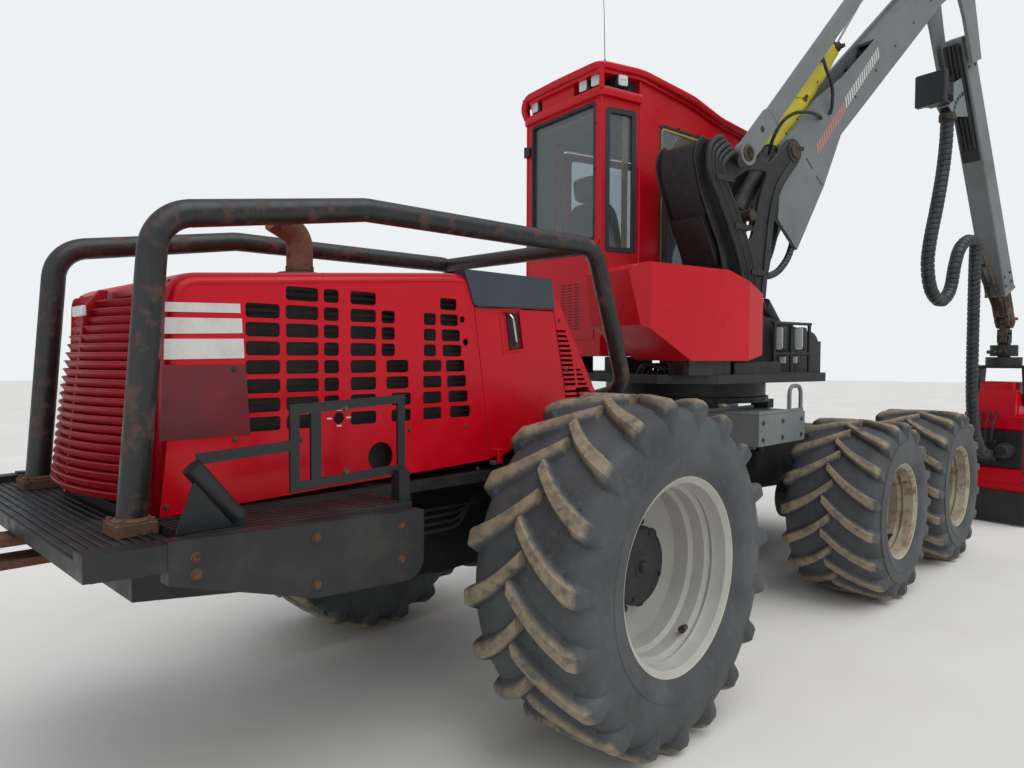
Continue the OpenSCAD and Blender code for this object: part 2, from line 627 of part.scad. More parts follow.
// Window and door openings; g makes them smaller, for the panes
module cab_openings(g) {
    h = 200;
    // Rear
    translate([-950 - 60, 0, sill_z + 110 + g]) cube([h, 740 - g, roof_z - sill_z - 260 - 2 * g]);
    // Narrow pane beside the rear corner
    along_wall([-950, -70], [-630, -120]) translate([35 + g, -60, sill_z + 20 + g]) cube([255 - 2 * g, h, roof_z - sill_z - 200 - 2 * g]);
    // Right side
    along_wall([-630, -120], [750, 10]) translate([230 + g, -60, 2250 + g]) cube([1040 - 2 * g, h, 1240 - 2 * g]);
    // Front, three panes
    along_wall([750, 10], [930, 190]) translate([30 + g, -60, 2150 + g]) cube([175 - 2 * g, h, 1400 - 2 * g]);
    along_wall([930, 190], [930, 560]) translate([26 + g, -60, 2150 + g]) cube([318 - 2 * g, h, 1400 - 2 * g]);
    along_wall([930, 560], [750, 745]) translate([48 + g, -60, 2150 + g]) cube([177 - 2 * g, h, 1400 - 2 * g]);
    // Door on the left
    if (g == 0) along_wall([750, 745], [-630, 870]) translate([200, -60, cab_z + 90]) cube([1120, h, roof_z - cab_z - 240]);
}
// Turns children so that x runs along a wall of the plan and y points into the cab
module along_wall(a, b) translate([a[0], a[1], 0]) rotate([0, 0, heading(a, b)]) children();
module cab_glass() color([0.55, 0.62, 0.66, 0.4]) placed() slewed() intersection() {
    cab_openings(seat_gap);
    difference() {
        translate([0, 0, cab_z]) linear_extrude(roof_z - cab_z) polygon(inward(16));
        translate([0, 0, cab_z - 5]) linear_extrude(roof_z - cab_z + 10) polygon(inward(30));
    }
}
module cab_door() color(red) placed() slewed() along_wall([750, 745], [-630, 870]) {
    difference() {
        translate([208, 0, cab_z + 98]) cube([1104, 46, roof_z - cab_z - 256]);
        translate([280, -10, door_sill]) cube([960, 80, 1080]);
    }
    for (z = door_knuckles) difference() {
        union() {
            translate([door_pin[0], door_pin[1], z + 36]) cylinder(r = 15, h = 40);
            block([1240, door_pin[1] - 8, z + 36], [door_pin[0], -7, z + 76]);
            block([1240, -10, z + 36], [1300, 5, z + 76]);
        }
        translate([door_pin[0], door_pin[1], z]) cylinder(r = 8.1, h = 100);
    }
}
module door_glass() color([0.55, 0.62, 0.66, 0.4]) placed() slewed() along_wall([750, 745], [-630, 870])
    translate([280 + seat_gap, 17, door_sill + seat_gap]) cube([960 - 2 * seat_gap, 12, 1080 - 2 * seat_gap]);
module seat() color([0.25, 0.27, 0.29]) placed() slewed() translate([-300, 330, 0]) {
    translate([0, 0, cab_z + 50 + seat_gap]) cylinder(r = 120, h = 350);
    block([-260, -240, cab_z + 390], [260, 240, cab_z + 510]);
    hull() {
        block([-330, -230, cab_z + 480], [-230, 230, cab_z + 560]);
        block([-420, -180, cab_z + 1050], [-350, 180, cab_z + 1100]);
    }
    hull() {
        block([-430, -120, cab_z + 1110], [-360, 120, cab_z + 1130]);
        block([-440, -110, cab_z + 1240], [-380, 110, cab_z + 1260]);
    }
    block([-420, -60, cab_z + 1080], [-360, 60, cab_z + 1120]);
}
module work_lamps() color([0.85, 0.86, 0.86]) placed() slewed() {
    for (p = [[-985.5, 700, 3600], [-985.5, 40, 3600], [-800, -144.5, 3600]]) translate(p) cube([70, 90, 90], center = true);
}

// Crane
module lever() color(black) placed() craned() {
    side = cheek_in + plate_t / 2;
    reach = cheek_in + 5;
    for (s = [-1, 1]) plate(plate_t, s * side) polygon(concat(
        [for (p = arc(lever_pin, 130, 200, 340, 6)) p],
        [[110, 2310], [165, 2400], [210, 2830], [300, 3030], [493, 3230]],
        [for (p = arc(boom_pin, 95, -20, 120, 6)) p],
        [[142, 3060], [40, 2880], [-160, 2880]],
        [[-420, 2990], [-530, 3130], [-640, 3230], [-875, 3030], [-764, 2720], [-496, 2384], [-330, 2130]]
    ));
    plate(2 * reach) polygon([[-400, 2400], [-640, 2740], [-600, 2770], [-350, 2440]]);
    cross_bar(lever_pin, pin_r, -cheek_in - 2 * plate_t - run_gap, cheek_in + 2 * plate_t + run_gap);
    for (p = [[-140, 2230], fold_low]) cross_bar(p, pin_r, -reach, reach);
    // The boom's pin is two stubs, so that the fold cylinder passes between them
    for (s = [-1, 1]) cross_bar(boom_pin, pin_r, s > 0 ? 95 : -cheek_in - plate_t, s > 0 ? cheek_in + plate_t : -95);
    // Bracket that carries the tie bar's lower pin
    plate(plate_t, -side) polygon([[-700, 3040], [-500, 2960], [-120, 3110], [-150, 3260], [-250, 3270], [-640, 3225]]);
    cross_bar(tie_low, pin_r, -tie_side - 40, -cheek_in - plate_t + 5);
}
module lift_eye(a, r, half) difference() {
    translate([0, half, 0]) rotate([90, 0, 0]) cylinder(r = r, h = 2 * half);
    translate([0, half + 5, 0]) rotate([90, 0, 0]) cylinder(r = a, h = 2 * half + 10);
}
lift_len = norm(lift_high - lift_low);
module lift_barrel() color(black) placed() craned() along(lift_low, lift_high) {
    lift_eye(pin_r - 8 + 0.1, 75, 60);
    difference() {
        rod_x(75, 60, 500);
        rod_x(38, 110, 510);
    }
}
// A rod's eye with its own pin, which reaches close to the cheeks on both sides
module rod_eye(x) {
    translate([x, 45, 0]) rotate([90, 0, 0]) cylinder(r = 65, h = 90);
    translate([x, boom_half, 0]) rotate([90, 0, 0]) cylinder(r = pin_r, h = 2 * boom_half);
}
module lift_rod() color(chrome) placed() craned() along(lift_low, lift_high) {
    rod_x(37.5, 260, lift_len - 50);
    rod_eye(lift_len);
}
boom_len = norm(stick_pin - boom_pin);
module boom() color(grey) placed() craned() difference() {
    union() {
        // Side plates
        for (s = [-1, 1]) plate(plate_t, s * (boom_half - plate_t / 2)) polygon(concat(
            [for (p = arc(boom_pin, 110, 110, 200, 4)) p],
            [[300, 2790], [542, 2590], [876, 3108], [1103, 3550], [2700, 5010]],
            [for (p = arc(stick_pin, 130, -40, 120, 6)) p],
            [[2600, 5290], [1134, 4010], [760, 3760]]
        ));
        // Top, bottom and end plates between them
        along([1700, 4474], [2600, 5260]) block([0, -boom_half + 5, -25], [1195, boom_half - 5, 0]);
        along([900, 3200], [1103, 3560]) block([0, -boom_half + 5, 0], [norm([203, 360]) + 8, boom_half - 5, 25]);
        along([1103, 3560], [2700, 5020]) block([-12, -boom_half + 5, 0], [norm([1597, 1460]), boom_half - 5, 25]);
        cross_bar(stick_pin, pin_r, -cheek_in - plate_t, cheek_in + plate_t);
    }
    cross_hole(boom_pin, pin_r + 0.1);
}
module cross_hole(p, r) translate([p[0], 500, p[1]]) rotate([90, 0, 0]) cylinder(r = r, h = 1000);
tie_len = norm(tie_high - tie_low);
module tie_bar() color(grey) placed() craned() translate([0, -tie_side, 0]) along(tie_low, tie_high) difference() {
    union() {
        block([170, -30, -55], [tie_len - 120, 30, 55]);
        for (x = [0, tie_len]) translate([x, 30, 0]) rotate([90, 0, 0]) cylinder(r = 80, h = 60);
        block([0, -30, -70], [420, 30, 70]);
        block([tie_len - 200, -30, -50], [tie_len, 30, 50]);
        translate([tie_len, tie_side - cheek_in - plate_t - run_gap, 0]) rotate([90, 0, 0])
            cylinder(r = pin_r, h = 40 + tie_side - cheek_in - plate_t - run_gap);
    }
    translate([0, 50, 0]) rotate([90, 0, 0]) cylinder(r = pin_r + 0.1, h = 100);
}
fold_len = norm(fold_high - fold_low);
fold_barrel_len = 1936;
module fold_barrel() color([0.85, 0.78, 0.15]) placed() craned() along(fold_low, fold_high) {
    lift_eye(pin_r + 0.1, 80, 60);
    difference() {
        rod_x(72, 60, fold_barrel_len);
        rod_x(34, 140, fold_barrel_len + 10);
    }
}
module fold_rod() color(chrome) placed() craned() along(fold_low, fold_high) {
    rod_x(33.5, 420, fold_len - 50);
    rod_eye(fold_len);
}
stick_len = norm(tip_pin - stick_pin);
// The stick straddles the boom's end with two cheeks, then becomes a box
module stick() color(grey) placed() craned() {
    in = boom_half + run_gap;
    difference() {
        union() {
            for (s = [-1, 1]) plate(plate_t, s * (in + plate_t / 2)) polygon(concat(
                [for (p = arc(tie_high, 75, 50, 190, 5)) p],
                [for (p = arc(fold_high, 75, 170, 260, 3)) p],
                [[2900, 5240], [3080, 4980], [3260, 4600], [3440, 4680], [3240, 5300]],
                [for (p = arc(stick_pin, 150, 10, 80, 3)) p]
            ));
            cross_bar(tie_high, pin_r, -in - plate_t, in + plate_t);
        }
        cross_hole(stick_pin, pin_r + 0.1);
    }
    along(stick_pin, tip_pin) difference() {
        union() {
            block([560, -stick_half, -125], [stick_len - tip_out, stick_half, 125]);
            for (s = [-1, 1]) block([600, s > 0 ? stick_half - 5 : -in - 5, -100], [760, s > 0 ? in + 5 : -stick_half + 5, 100]);
        }
        block([600, -stick_half + 20, -125 + 25], [stick_len, stick_half - 20, 125 - 25]);
    }
}
module extension() color([0.38, 0.30, 0.26]) placed() craned() along(stick_pin, tip_pin) difference() {
    union() {
        block([stick_len - 1900, -stick_half + 26, -inner_d / 2], [stick_len - 90, stick_half - 26, inner_d / 2]);
        block([stick_len - 1900, -stick_half + 20.3, -99.7], [stick_len - 1840, stick_half - 20.3, 99.7]);
        for (s = [-1, 1]) block([stick_len - 200, s * 55 - 14, -80], [stick_len, s * 55 + 14, 80]);
        for (s = [-1, 1]) translate([stick_len, s * 55 + 14, 0]) rotate([90, 0, 0]) cylinder(r = 80, h = 28);
        translate([stick_len, 75, 0]) rotate([90, 0, 0]) cylinder(r = 28, h = 150);
    }
}

// Head, hung under the tip
module hung() craned() translate([tip_pin[0], 0, 0]) children();
module tip_link() color([0.2, 0.17, 0.15]) placed() hung() difference() {
    union() {
        translate([0, 35, tip_pin[1]]) rotate([90, 0, 0]) cylinder(r = 62, h = 70);
        block([-45, -35, cross_z + 70], [45, 35, tip_pin[1] - 30]);
        for (s = [-1, 1]) block([s * 60 - 14, -45, cross_z - 45], [s * 60 + 14, 45, cross_z + 100]);
        block([-74, -45, cross_z + 72], [74, 45, cross_z + 100]);
        translate([-80, 0, cross_z]) rotate([0, 90, 0]) cylinder(r = 24, h = 160);
    }
    translate([0, 80, tip_pin[1]]) rotate([90, 0, 0]) cylinder(r = 28.1, h = 160);
}
module cross_link() color([0.16, 0.15, 0.15]) placed() hung() difference() {
    union() {
        translate([-39, 0, cross_z]) rotate([0, 90, 0]) cylinder(r = 58, h = 78);
        block([-39, -50, rotator_z + 60], [39, 50, cross_z - 30]);
        translate([0, 0, rotator_z - 40]) cylinder(r = 130, h = 120);
        translate([0, 0, rotator_z - 90]) cylinder(r = 60, h = 60);
    }
    translate([-60, 0, cross_z]) rotate([0, 90, 0]) cylinder(r = 24.1, h = 120);
}
module rotator() color([0.16, 0.15, 0.15]) placed() hung() difference() {
    union() {
        translate([0, 0, rotator_z - 150]) cylinder(r = 170, h = 100);
        for (s = [-1, 1]) hull() {
            block([-130, s * 240 - 20, rotator_z - 170], [130, s * 240 + 20, rotator_z - 145]);
            translate([0, s * 240 + 20, tilt_z]) rotate([90, 0, 0]) cylinder(r = 70, h = 40, $fn = 32);
        }
        block([-130, -260, rotator_z - 170], [130, 260, rotator_z - 140]);
    }
    translate([0, 0, rotator_z - 92]) cylinder(r = 60.1, h = 80);
    translate([0, 300, tilt_z]) rotate([90, 0, 0]) cylinder(r = 30.1, h = 600);
}
module head_frame() color(red) placed() hung() {
    half = head_w / 2;
    difference() {
        union() {
            // Back plate, sides and top box
            block([-head_d / 2, -half, 240], [-head_d / 2 + 30, half, 1180]);
            block([-head_d / 2 + 25, -half, 1000], [head_d / 2, half, 1180]);
            // Lips that hold the pins of knives and feed arms
            for (s = [-1, 1]) for (z = [1000, 1150]) {
                block([head_d / 2 - 20, s * claw_y - 50, z], [claw_x, s * claw_y + 50, z + 30]);
                translate([claw_x, s * claw_y, z]) cylinder(r = 50, h = 30);
            }
            for (s = [-1, 1]) translate([claw_x, s * claw_y, 1010]) cylinder(r = 28, h = 160);
            for (s = [-1, 1]) translate([claw_x, s * claw_y, 270]) cylinder(r = 50, h = 30);
            for (s = [-1, 1]) translate([claw_x, s * claw_y, 290]) cylinder(r = 22, h = 720);
            translate([0, half - 120, 142]) cylinder(r = 15, h = 42);
            for (s = [-1, 1]) block([-head_d / 2 + 25, s * 195 - 15, 1175], [60, s * 195 + 15, 1400]);
            for (s = [-1, 1]) translate([0, s * 195 + 15, tilt_z]) rotate([90, 0, 0]) cylinder(r = 70, h = 30);
            for (s = [-1, 1]) translate([0, s * 235 + 30, tilt_z]) rotate([90, 0, 0]) cylinder(r = 30, h = 60);
            // Saw box at the lower end
            difference() {
                block([-head_d / 2, -half, 110], [head_d / 2 + 60, half, 300]);
                block([-head_d / 2 + 40, -half - 10, 40], [head_d / 2 + 100, half - 60, 180]);
            }
            block([-head_d / 2, half - 50, head_low_z], [head_d / 2 - 40, half, 120]);
            block([-head_d / 2, -half, head_low_z], [-head_d / 2 + 35, half, 120]);
        }
    }
}
module feed_arm(s) difference() {
    feed_arm_body(s);
    translate([claw_x, s * claw_y, 300]) cylinder(r = 22.1, h = 700);
}
module feed_arm_body(s) {
    translate([claw_x, s * claw_y, 300 + run_gap]) cylinder(r = 36, h = 700 - 2 * run_gap);
    for (z = [450, 740]) hull() {
        translate([claw_x, s * claw_y, z]) cylinder(r = 40, h = 40, $fn = 32);
        translate([head_d / 2 + 330, s * 300, z]) cylinder(r = 40, h = 40, $fn = 32);
    }
    translate([head_d / 2 + 330, s * 300, 500]) for (z = [0, 80, 160]) translate([0, 0, z]) linear_extrude(z < 160 ? 81 : 70) polygon([
        for (i = [0:roller_rows - 1]) for (p = [[0, roller_r - 22], [4, roller_r], [11, roller_r], [15, roller_r - 22]])
            p[1] * [cos(i * 360 / roller_rows + p[0] + (z == 80 ? 180 / roller_rows : 0)), sin(i * 360 / roller_rows + p[0] + (z == 80 ? 180 / roller_rows : 0))]
    ]);
    translate([head_d / 2 + 330, s * 300, 440]) cylinder(r = 30, h = 360);
}
module feed_arm_left() color(black) placed() hung() feed_arm(1);
module feed_arm_right() color(black) placed() hung() feed_arm(-1);
module knife(s, z) translate([0, 0, z]) linear_extrude(50) difference() {
    union() {
        translate([claw_x, s * claw_y]) circle(50);
        polygon(concat(
            [for (p = arc([claw_x + 210, s * 60], 300, s > 0 ? 135 : 225, s > 0 ? 10 : 350, 8)) p],
            [for (p = arc([claw_x + 210, s * 60], 265, s > 0 ? 10 : 350, s > 0 ? 135 : 225, 8)) p]
        ));
        polygon([
            [claw_x - 30, s * 240], [claw_x, s * 268], [claw_x + 38, s * 300], [claw_x + 58, s * 280], [claw_x + 45, s * 235]
        ]);
    }
    translate([claw_x, s * claw_y]) circle(28.1);
}
module knife_left() color(black) placed() hung() mirror([0, 1, 0]) knife(-1, 1036);
module knife_right() color(black) placed() hung() knife(-1, 1094);
module saw_bar() color(chrome) placed() hung() translate([0, head_w / 2 - 120, 140]) difference() {
    union() {
        cylinder(r = 40, h = 40 - run_gap);
        translate([-45, -480, 2]) cube([90, 480, 10]);
    }
    translate([0, 0, -1]) cylinder(r = 15.1, h = 60);
}

front_frame();
bogie_left();
bogie_right();
leveller();
front_step();
rear_frame();
rear_axle();
engine();
bumper();
hitch();
guard();
hood();
grille();
exhaust();
side_step();
service_door();
turntable();
tank();
cab();
cab_glass();
seat();
work_lamps();
cab_door();
door_glass();
lever();
lift_barrel();
lift_rod();
boom();
tie_bar();
fold_barrel();
fold_rod();
stick();
extension();
tip_link();
cross_link();
rotator();
head_frame();
feed_arm_left();
feed_arm_right();
knife_left();
knife_right();
saw_bar();
color(rubber) rear_tyre(1);  // tyre_rear_left
color(rubber) rear_tyre(-1);  // tyre_rear_right
color(cream) rear_rim(1);  // rim_rear_left
color(cream) rear_rim(-1);  // rim_rear_right
color(rubber) bogie_tyre(-1, 1);  // tyre_bogie_rear_left
color(rubber) bogie_tyre(-1, -1);  // tyre_bogie_rear_right
color(rubber) bogie_tyre(1, 1);  // tyre_bogie_front_left
color(rubber) bogie_tyre(1, -1);  // tyre_bogie_front_right
color(cream) bogie_rim(-1, 1);  // rim_bogie_rear_left
color(cream) bogie_rim(-1, -1);  // rim_bogie_rear_right
color(cream) bogie_rim(1, 1);  // rim_bogie_front_left
color(cream) bogie_rim(1, -1);  // rim_bogie_front_right
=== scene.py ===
"""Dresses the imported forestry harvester: finishes, tread, vents, hoses and trim."""

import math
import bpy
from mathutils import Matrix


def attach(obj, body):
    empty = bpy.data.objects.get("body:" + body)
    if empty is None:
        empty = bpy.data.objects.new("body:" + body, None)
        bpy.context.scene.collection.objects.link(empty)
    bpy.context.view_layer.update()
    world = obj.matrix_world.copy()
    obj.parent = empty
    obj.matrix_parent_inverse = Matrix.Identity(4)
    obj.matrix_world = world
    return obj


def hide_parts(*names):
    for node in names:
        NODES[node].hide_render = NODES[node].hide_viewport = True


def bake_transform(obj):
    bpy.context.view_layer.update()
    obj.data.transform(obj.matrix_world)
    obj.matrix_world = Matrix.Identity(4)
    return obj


bl_info = {
    "name": "Forestry harvester",
    "version": (1, 0, 0),
    "blender": (4, 5, 0),
    "location": "View3D > Sidebar > Harvester",
    "description": "Builds the surfaces and trim of a six-wheel forestry harvester on its packed frame",
    "category": "Add Mesh",
}

import bpy
import numpy as np
from mathutils import Matrix

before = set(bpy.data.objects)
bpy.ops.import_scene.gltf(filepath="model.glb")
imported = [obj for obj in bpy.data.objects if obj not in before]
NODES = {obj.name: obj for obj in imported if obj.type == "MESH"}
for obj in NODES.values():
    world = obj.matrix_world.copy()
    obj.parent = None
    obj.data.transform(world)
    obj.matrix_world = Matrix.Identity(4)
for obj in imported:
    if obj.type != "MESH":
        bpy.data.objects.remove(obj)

# The machine's own frame has its rear axle at x = 0 and y to the left; the part's frame is moved by MIDDLE.
MIDDLE = np.array([2.44, -0.20, 0.0])
# Slewing centre ahead of the rear axle, the turntable's turn at rest, the crane's plane right of that centre
SLEW_X = 2.25
SLEW_PARK = math.radians(10)
CRANE_T = 0.49


def machine(points):
    """Machine frame to part frame: every point minus MIDDLE."""
    return np.asarray(points, float) - MIDDLE


def slewed(points):
    """Turntable frame (s ahead, t left, z up) to part frame: a right turn by SLEW_PARK about its centre."""
    s, t, z = np.moveaxis(np.asarray(points, float), -1, 0)
    c, d = math.cos(SLEW_PARK), math.sin(SLEW_PARK)
    return machine(np.stack([SLEW_X + s * c + t * d, t * c - s * d, z], -1))


def craned(points):
    """Crane frame (s ahead, w left of the crane's plane, z up) to part frame."""
    return slewed(np.asarray(points, float) - [0, CRANE_T, 0])


def crane_way(step):
    """A direction of the crane frame in the part frame."""
    return craned([step])[0] - craned([(0, 0, 0)])[0]


# Shapes. Each is (points, faces): an array of points and a list of face arrays, one for each face size.

def outward(shape):
    """Turns all faces round when the volume, the sum of a . (b x c) over fans of each face, is negative."""
    points, faces = shape
    points = np.asarray(points, float)
    total = 0.0
    middle = points.mean(0)
    for f in faces:
        for k in range(1, f.shape[1] - 1):
            a, b, c = (points[f[:, i]] - middle for i in (0, k, k + 1))
            total += float(np.einsum("ij,ij->", a, np.cross(b, c)))
    return (points, faces) if total >= 0 else (points, [f[:, ::-1] for f in faces])


def quads(rows, cols, round_rows=False, round_cols=False):
    """Faces of a grid of rows x cols points, numbered row by row; a round direction is closed."""
    r = np.arange(rows if round_rows else rows - 1)[:, None]
    c = np.arange(cols if round_cols else cols - 1)[None, :]
    r2, c2 = (r + 1) % rows, (c + 1) % cols
    return np.stack([r * cols + c, r * cols + c2, r2 * cols + c2, r2 * cols + c], -1).reshape(-1, 4)


def skin(grid, round_rows=False, round_cols=False, ends=False):
    """A grid of points [rows, cols, 3] as a surface; ends close the first and last row with one face each."""
    rows, cols = grid.shape[:2]
    faces = [quads(rows, cols, round_rows, round_cols)]
    if ends:
        ring = np.arange(cols)[None, :]
        faces.append(np.concatenate([ring[:, ::-1], ring + (rows - 1) * cols]))
    shape = (grid.reshape(-1, 3), faces)
    return outward(shape) if ends or (round_rows and round_cols) else shape


def outline_offset(outline, gap):
    """Moves each corner of a closed outline inwards by gap, along its edges' mean normal over the cosine."""
    o = np.asarray(outline, float)
    area = np.sum(o[:, 0] * np.roll(o[:, 1], -1) - np.roll(o[:, 0], -1) * o[:, 1])
    e = np.roll(o, -1, 0) - o
    e /= np.maximum(np.linalg.norm(e, axis=1, keepdims=True), 1e-9)
    n = np.stack([-e[:, 1], e[:, 0]], -1) * np.sign(area)
    m = n + np.roll(n, 1, 0)
    m /= np.maximum(np.sum(m * n, 1, keepdims=True), 0.35)
    return o + m * gap


AXES = {"xy": (0, 1, 2), "xz": (0, 2, 1), "yz": (1, 2, 0)}


def slab(outline, low, high, edge=0.0, axes="xy"):
    """A closed outline carried from low to high along the third axis, its rims drawn in by edge."""
    o = np.asarray(outline, float)
    levels = [(low, edge), (low + edge, 0), (high - edge, 0), (high, edge)] if edge else [(low, 0), (high, 0)]
    grid = np.stack([np.column_stack([outline_offset(o, g) if g else o, np.full(len(o), h)])
            for h, g in levels])
    out = np.empty_like(grid)
    for i, k in enumerate(AXES[axes]):
        out[..., k] = grid[..., i]
    return skin(out, round_cols=True, ends=True)


def rounded(w, h, r, n=4, centre=(0, 0)):
    """Outline of a rectangle w by h with corners of radius r, n steps each."""
    a = np.linspace(0, math.pi / 2, n + 1)
    arcs = []
    for k, (sx, sy) in enumerate([(1, 1), (-1, 1), (-1, -1), (1, -1)]):
        b = a + k * math.pi / 2
        arcs.append(np.stack([sx * (w / 2 - r) + r * np.cos(b), sy * (h / 2 - r) + r * np.sin(b)], -1))
    return np.concatenate(arcs) + np.asarray(centre, float)


def ring(r, n=24, centre=(0, 0)):
    """Outline of a circle."""
    a = np.arange(n) * 2 * math.pi / n
    return np.stack([r * np.cos(a), r * np.sin(a)], -1) + np.asarray(centre, float)


def box(low, high, edge=0.004):
    """A block from its low corner to its high corner, with all its edges broken by edge."""
    low, high = np.minimum(low, high).astype(float), np.maximum(low, high).astype(float)
    mid = (low + high) / 2
    size = high - low
    edge = min(edge, size.min() * 0.3)
    return slab(rounded(size[0], size[1], edge, 1, mid[:2]), low[2], high[2], edge * 0.8)


def smooth_path(corners, radius, steps=6):
    """Corner points with each inner corner made an arc-like curve: (1-k)^2 a + 2k(1-k) corner + k^2 b."""
    c = np.asarray(corners, float)
    out = [c[:1]]
    k = np.linspace(0, 1, steps + 1)[:, None]
    for i in range(1, len(c) - 1):
        d0, d1 = c[i - 1] - c[i], c[i + 1] - c[i]
        reach = min(radius, np.linalg.norm(d0) * 0.48, np.linalg.norm(d1) * 0.48)
        a, b = c[i] + d0 / np.linalg.norm(d0) * reach, c[i] + d1 / np.linalg.norm(d1) * reach
        out.append((1 - k) ** 2 * a + 2 * k * (1 - k) * c[i] + k ** 2 * b)
    return np.concatenate(out + [c[-1:]])


def hang(points, steps=8):
    """A smooth curve through points: Catmull-Rom cubics between each pair, its ends extended straight."""
    p = np.asarray(points, float)
    p = np.concatenate([2 * p[:1] - p[1:2], p, 2 * p[-1:] - p[-2:-1]])
    t = np.linspace(0, 1, steps, endpoint=False)[:, None, None]
    a, b, c, d = p[:-3], p[1:-2], p[2:-1], p[3:]
    q = 0.5 * (2 * b + (c - a) * t + (2 * a - 5 * b + 4 * c - d) * t ** 2 + (3 * b - a - 3 * c + d) * t ** 3)
    return np.concatenate([q.transpose(1, 0, 2).reshape(-1, 3), p[-2:-1]])


def frames(path):
    """Tangent and two normals at each point of a path; the normals go on from point to point untwisted."""
    t = np.gradient(path, axis=0)
    t /= np.linalg.norm(t, axis=1, keepdims=True)
    n = np.empty_like(t)
    start = np.eye(3)[np.argmin(np.abs(t[0]))]
    for i in range(len(path)):
        v = start - t[i] * (start @ t[i])
        n[i] = v / np.linalg.norm(v)
        start = n[i]
    return t, n, np.cross(t, n)


def carried(profile, path, ends=True, scale=None):
    """A profile of (a, b) points carried along a path: point = path + a first normal + b second normal."""
    path = np.asarray(path, float)
    _, n, b = frames(path)
    k = np.ones(len(path)) if scale is None else np.asarray(scale, float)
    p = np.asarray(profile, float)
    grid = path[:, None] + k[:, None, None] * (p[None, :, :1] * n[:, None] + p[None, :, 1:] * b[:, None])
    return skin(grid, round_cols=True, ends=ends)


def tube(path, radius, sides=14, ends=True, scale=None):
    """A round bar along a path."""
    return carried(ring(radius, sides), path, ends, scale)


def turned(profile, sides=48, centre=(0, 0, 0), axis=(0, 1, 0), closed=True):
    """A profile of (radius, distance along the axis) turned about the axis through centre."""
    z = np.asarray(axis, float) / np.linalg.norm(axis)
    x = np.cross(z, np.eye(3)[np.argmin(np.abs(z))])
    x /= np.linalg.norm(x)
    y = np.cross(z, x)
    p = np.asarray(profile, float)
    a = (np.arange(sides) * 2 * math.pi / sides)[None, :, None]
    grid = np.asarray(centre, float) + p[:, None, 1:] * z + p[:, None, :1] * (np.cos(a) * x + np.sin(a) * y)
    if closed:
        return outward(skin(grid, round_rows=True, round_cols=True))
    return skin(grid, round_cols=True, ends=True)


def pipe(inner, outer, low, high, sides, centre, axis):
    """A straight pipe from low to high along the axis: four corners turned; inner 0.001 fills it."""
    return turned([(inner, low), (outer, low), (outer, high), (inner, high)], sides, centre, axis)


def copies(shape, offsets):
    """The same shape at every offset."""
    points, faces = shape
    o = np.asarray(offsets, float).reshape(-1, 1, 3)
    step = (np.arange(len(o)) * len(points))[:, None, None]
    return (points[None] + o).reshape(-1, 3), [(f[None] + step).reshape(-1, f.shape[1]) for f in faces]


def spun(shape, angles, centre, axis=(0, 1, 0)):
    """The same shape turned by every angle about an axis through centre."""
    points, faces = shape
    z = np.asarray(axis, float)
    a = np.asarray(angles, float)[:, None, None]
    v = points[None] - centre
    along = (v @ z)[..., None] * z
    out = along + (v - along) * np.cos(a) + np.cross(z, v) * np.sin(a) + centre
    step = (np.arange(len(a)) * len(points))[:, None, None]
    return out.reshape(-1, 3), [(f[None] + step).reshape(-1, f.shape[1]) for f in faces]


def moved(shape, place):
    """A shape with its points passed through place, its faces kept outward."""
    return outward((place(shape[0]), shape[1]))


def flipped(shape, axis=1):
    """Mirror image across the plane where that coordinate is zero."""
    points = shape[0].copy()
    points[:, axis] *= -1
    return points, [f[:, ::-1] for f in shape[1]]


def joined(shapes):
    """Several shapes as one."""
    points, faces, base = [], {}, 0
    for p, fs in shapes:
        points.append(p)
        for f in fs:
            faces.setdefault(f.shape[1], []).append(f + base)
        base += len(p)
    return np.concatenate(points), [np.concatenate(f) for f in faces.values()]


def hexes(centres, axis, r=0.012, h=0.01):
    """Hexagon bolt heads on thin round washers."""
    z = np.asarray(axis, float) / np.linalg.norm(axis)
    head = turned([(r, 0), (r, h * 0.85), (r * 0.85, h)], 6, (0, 0, 0), z, closed=False)
    washer = turned([(r * 1.45, -0.001), (r * 1.45, h * 0.2)], 16, (0, 0, 0), z, closed=False)
    return copies(joined([head, washer]), centres)


def pierced(outline, holes, thick, edge=0.0):
    """A plate with holes from 0 to thick: a flat curve, filled between outline and holes, made a mesh."""
    data = bpy.data.curves.new("outline", "CURVE")
    data.dimensions, data.fill_mode = "2D", "BOTH"
    data.extrude, data.bevel_depth, data.bevel_resolution = thick / 2 - edge, edge, 0
    data.offset = -edge
    for loop in [outline, *holes]:
        line = data.splines.new("POLY")
        line.points.add(len(loop) - 1)
        line.points.foreach_set("co", np.column_stack(
                [loop, np.zeros(len(loop)), np.ones(len(loop))]).ravel())
        line.use_cyclic_u = True
    thing = bpy.data.objects.new("outline", data)
    mesh = bpy.data.meshes.new_from_object(thing)
    points = np.empty(len(mesh.vertices) * 3)
    mesh.vertices.foreach_get("co", points)
    starts, totals, corners = (np.empty(n, int)
        for n in (len(mesh.polygons), len(mesh.polygons), len(mesh.loops)))
    mesh.polygons.foreach_get("loop_start", starts)
    mesh.polygons.foreach_get("loop_total", totals)
    mesh.loops.foreach_get("vertex_index", corners)
    faces = [corners[starts[totals == k][:, None] + np.arange(k)] for k in np.unique(totals)]
    bpy.data.objects.remove(thing)
    bpy.data.curves.remove(data)
    bpy.data.meshes.remove(mesh)
    points = points.reshape(-1, 3) + [0, 0, thick / 2]
    return merged((points, faces))


def merged(shape, step=1e-5):
    """Points closer together than step become one."""
    points, faces = shape
    _, first, back = np.unique(np.round(points / step).astype(np.int64), axis=0, return_index=True,
        return_inverse=True)
    back = back.reshape(-1)
    return outward((points[first], [back[f] for f in faces]))


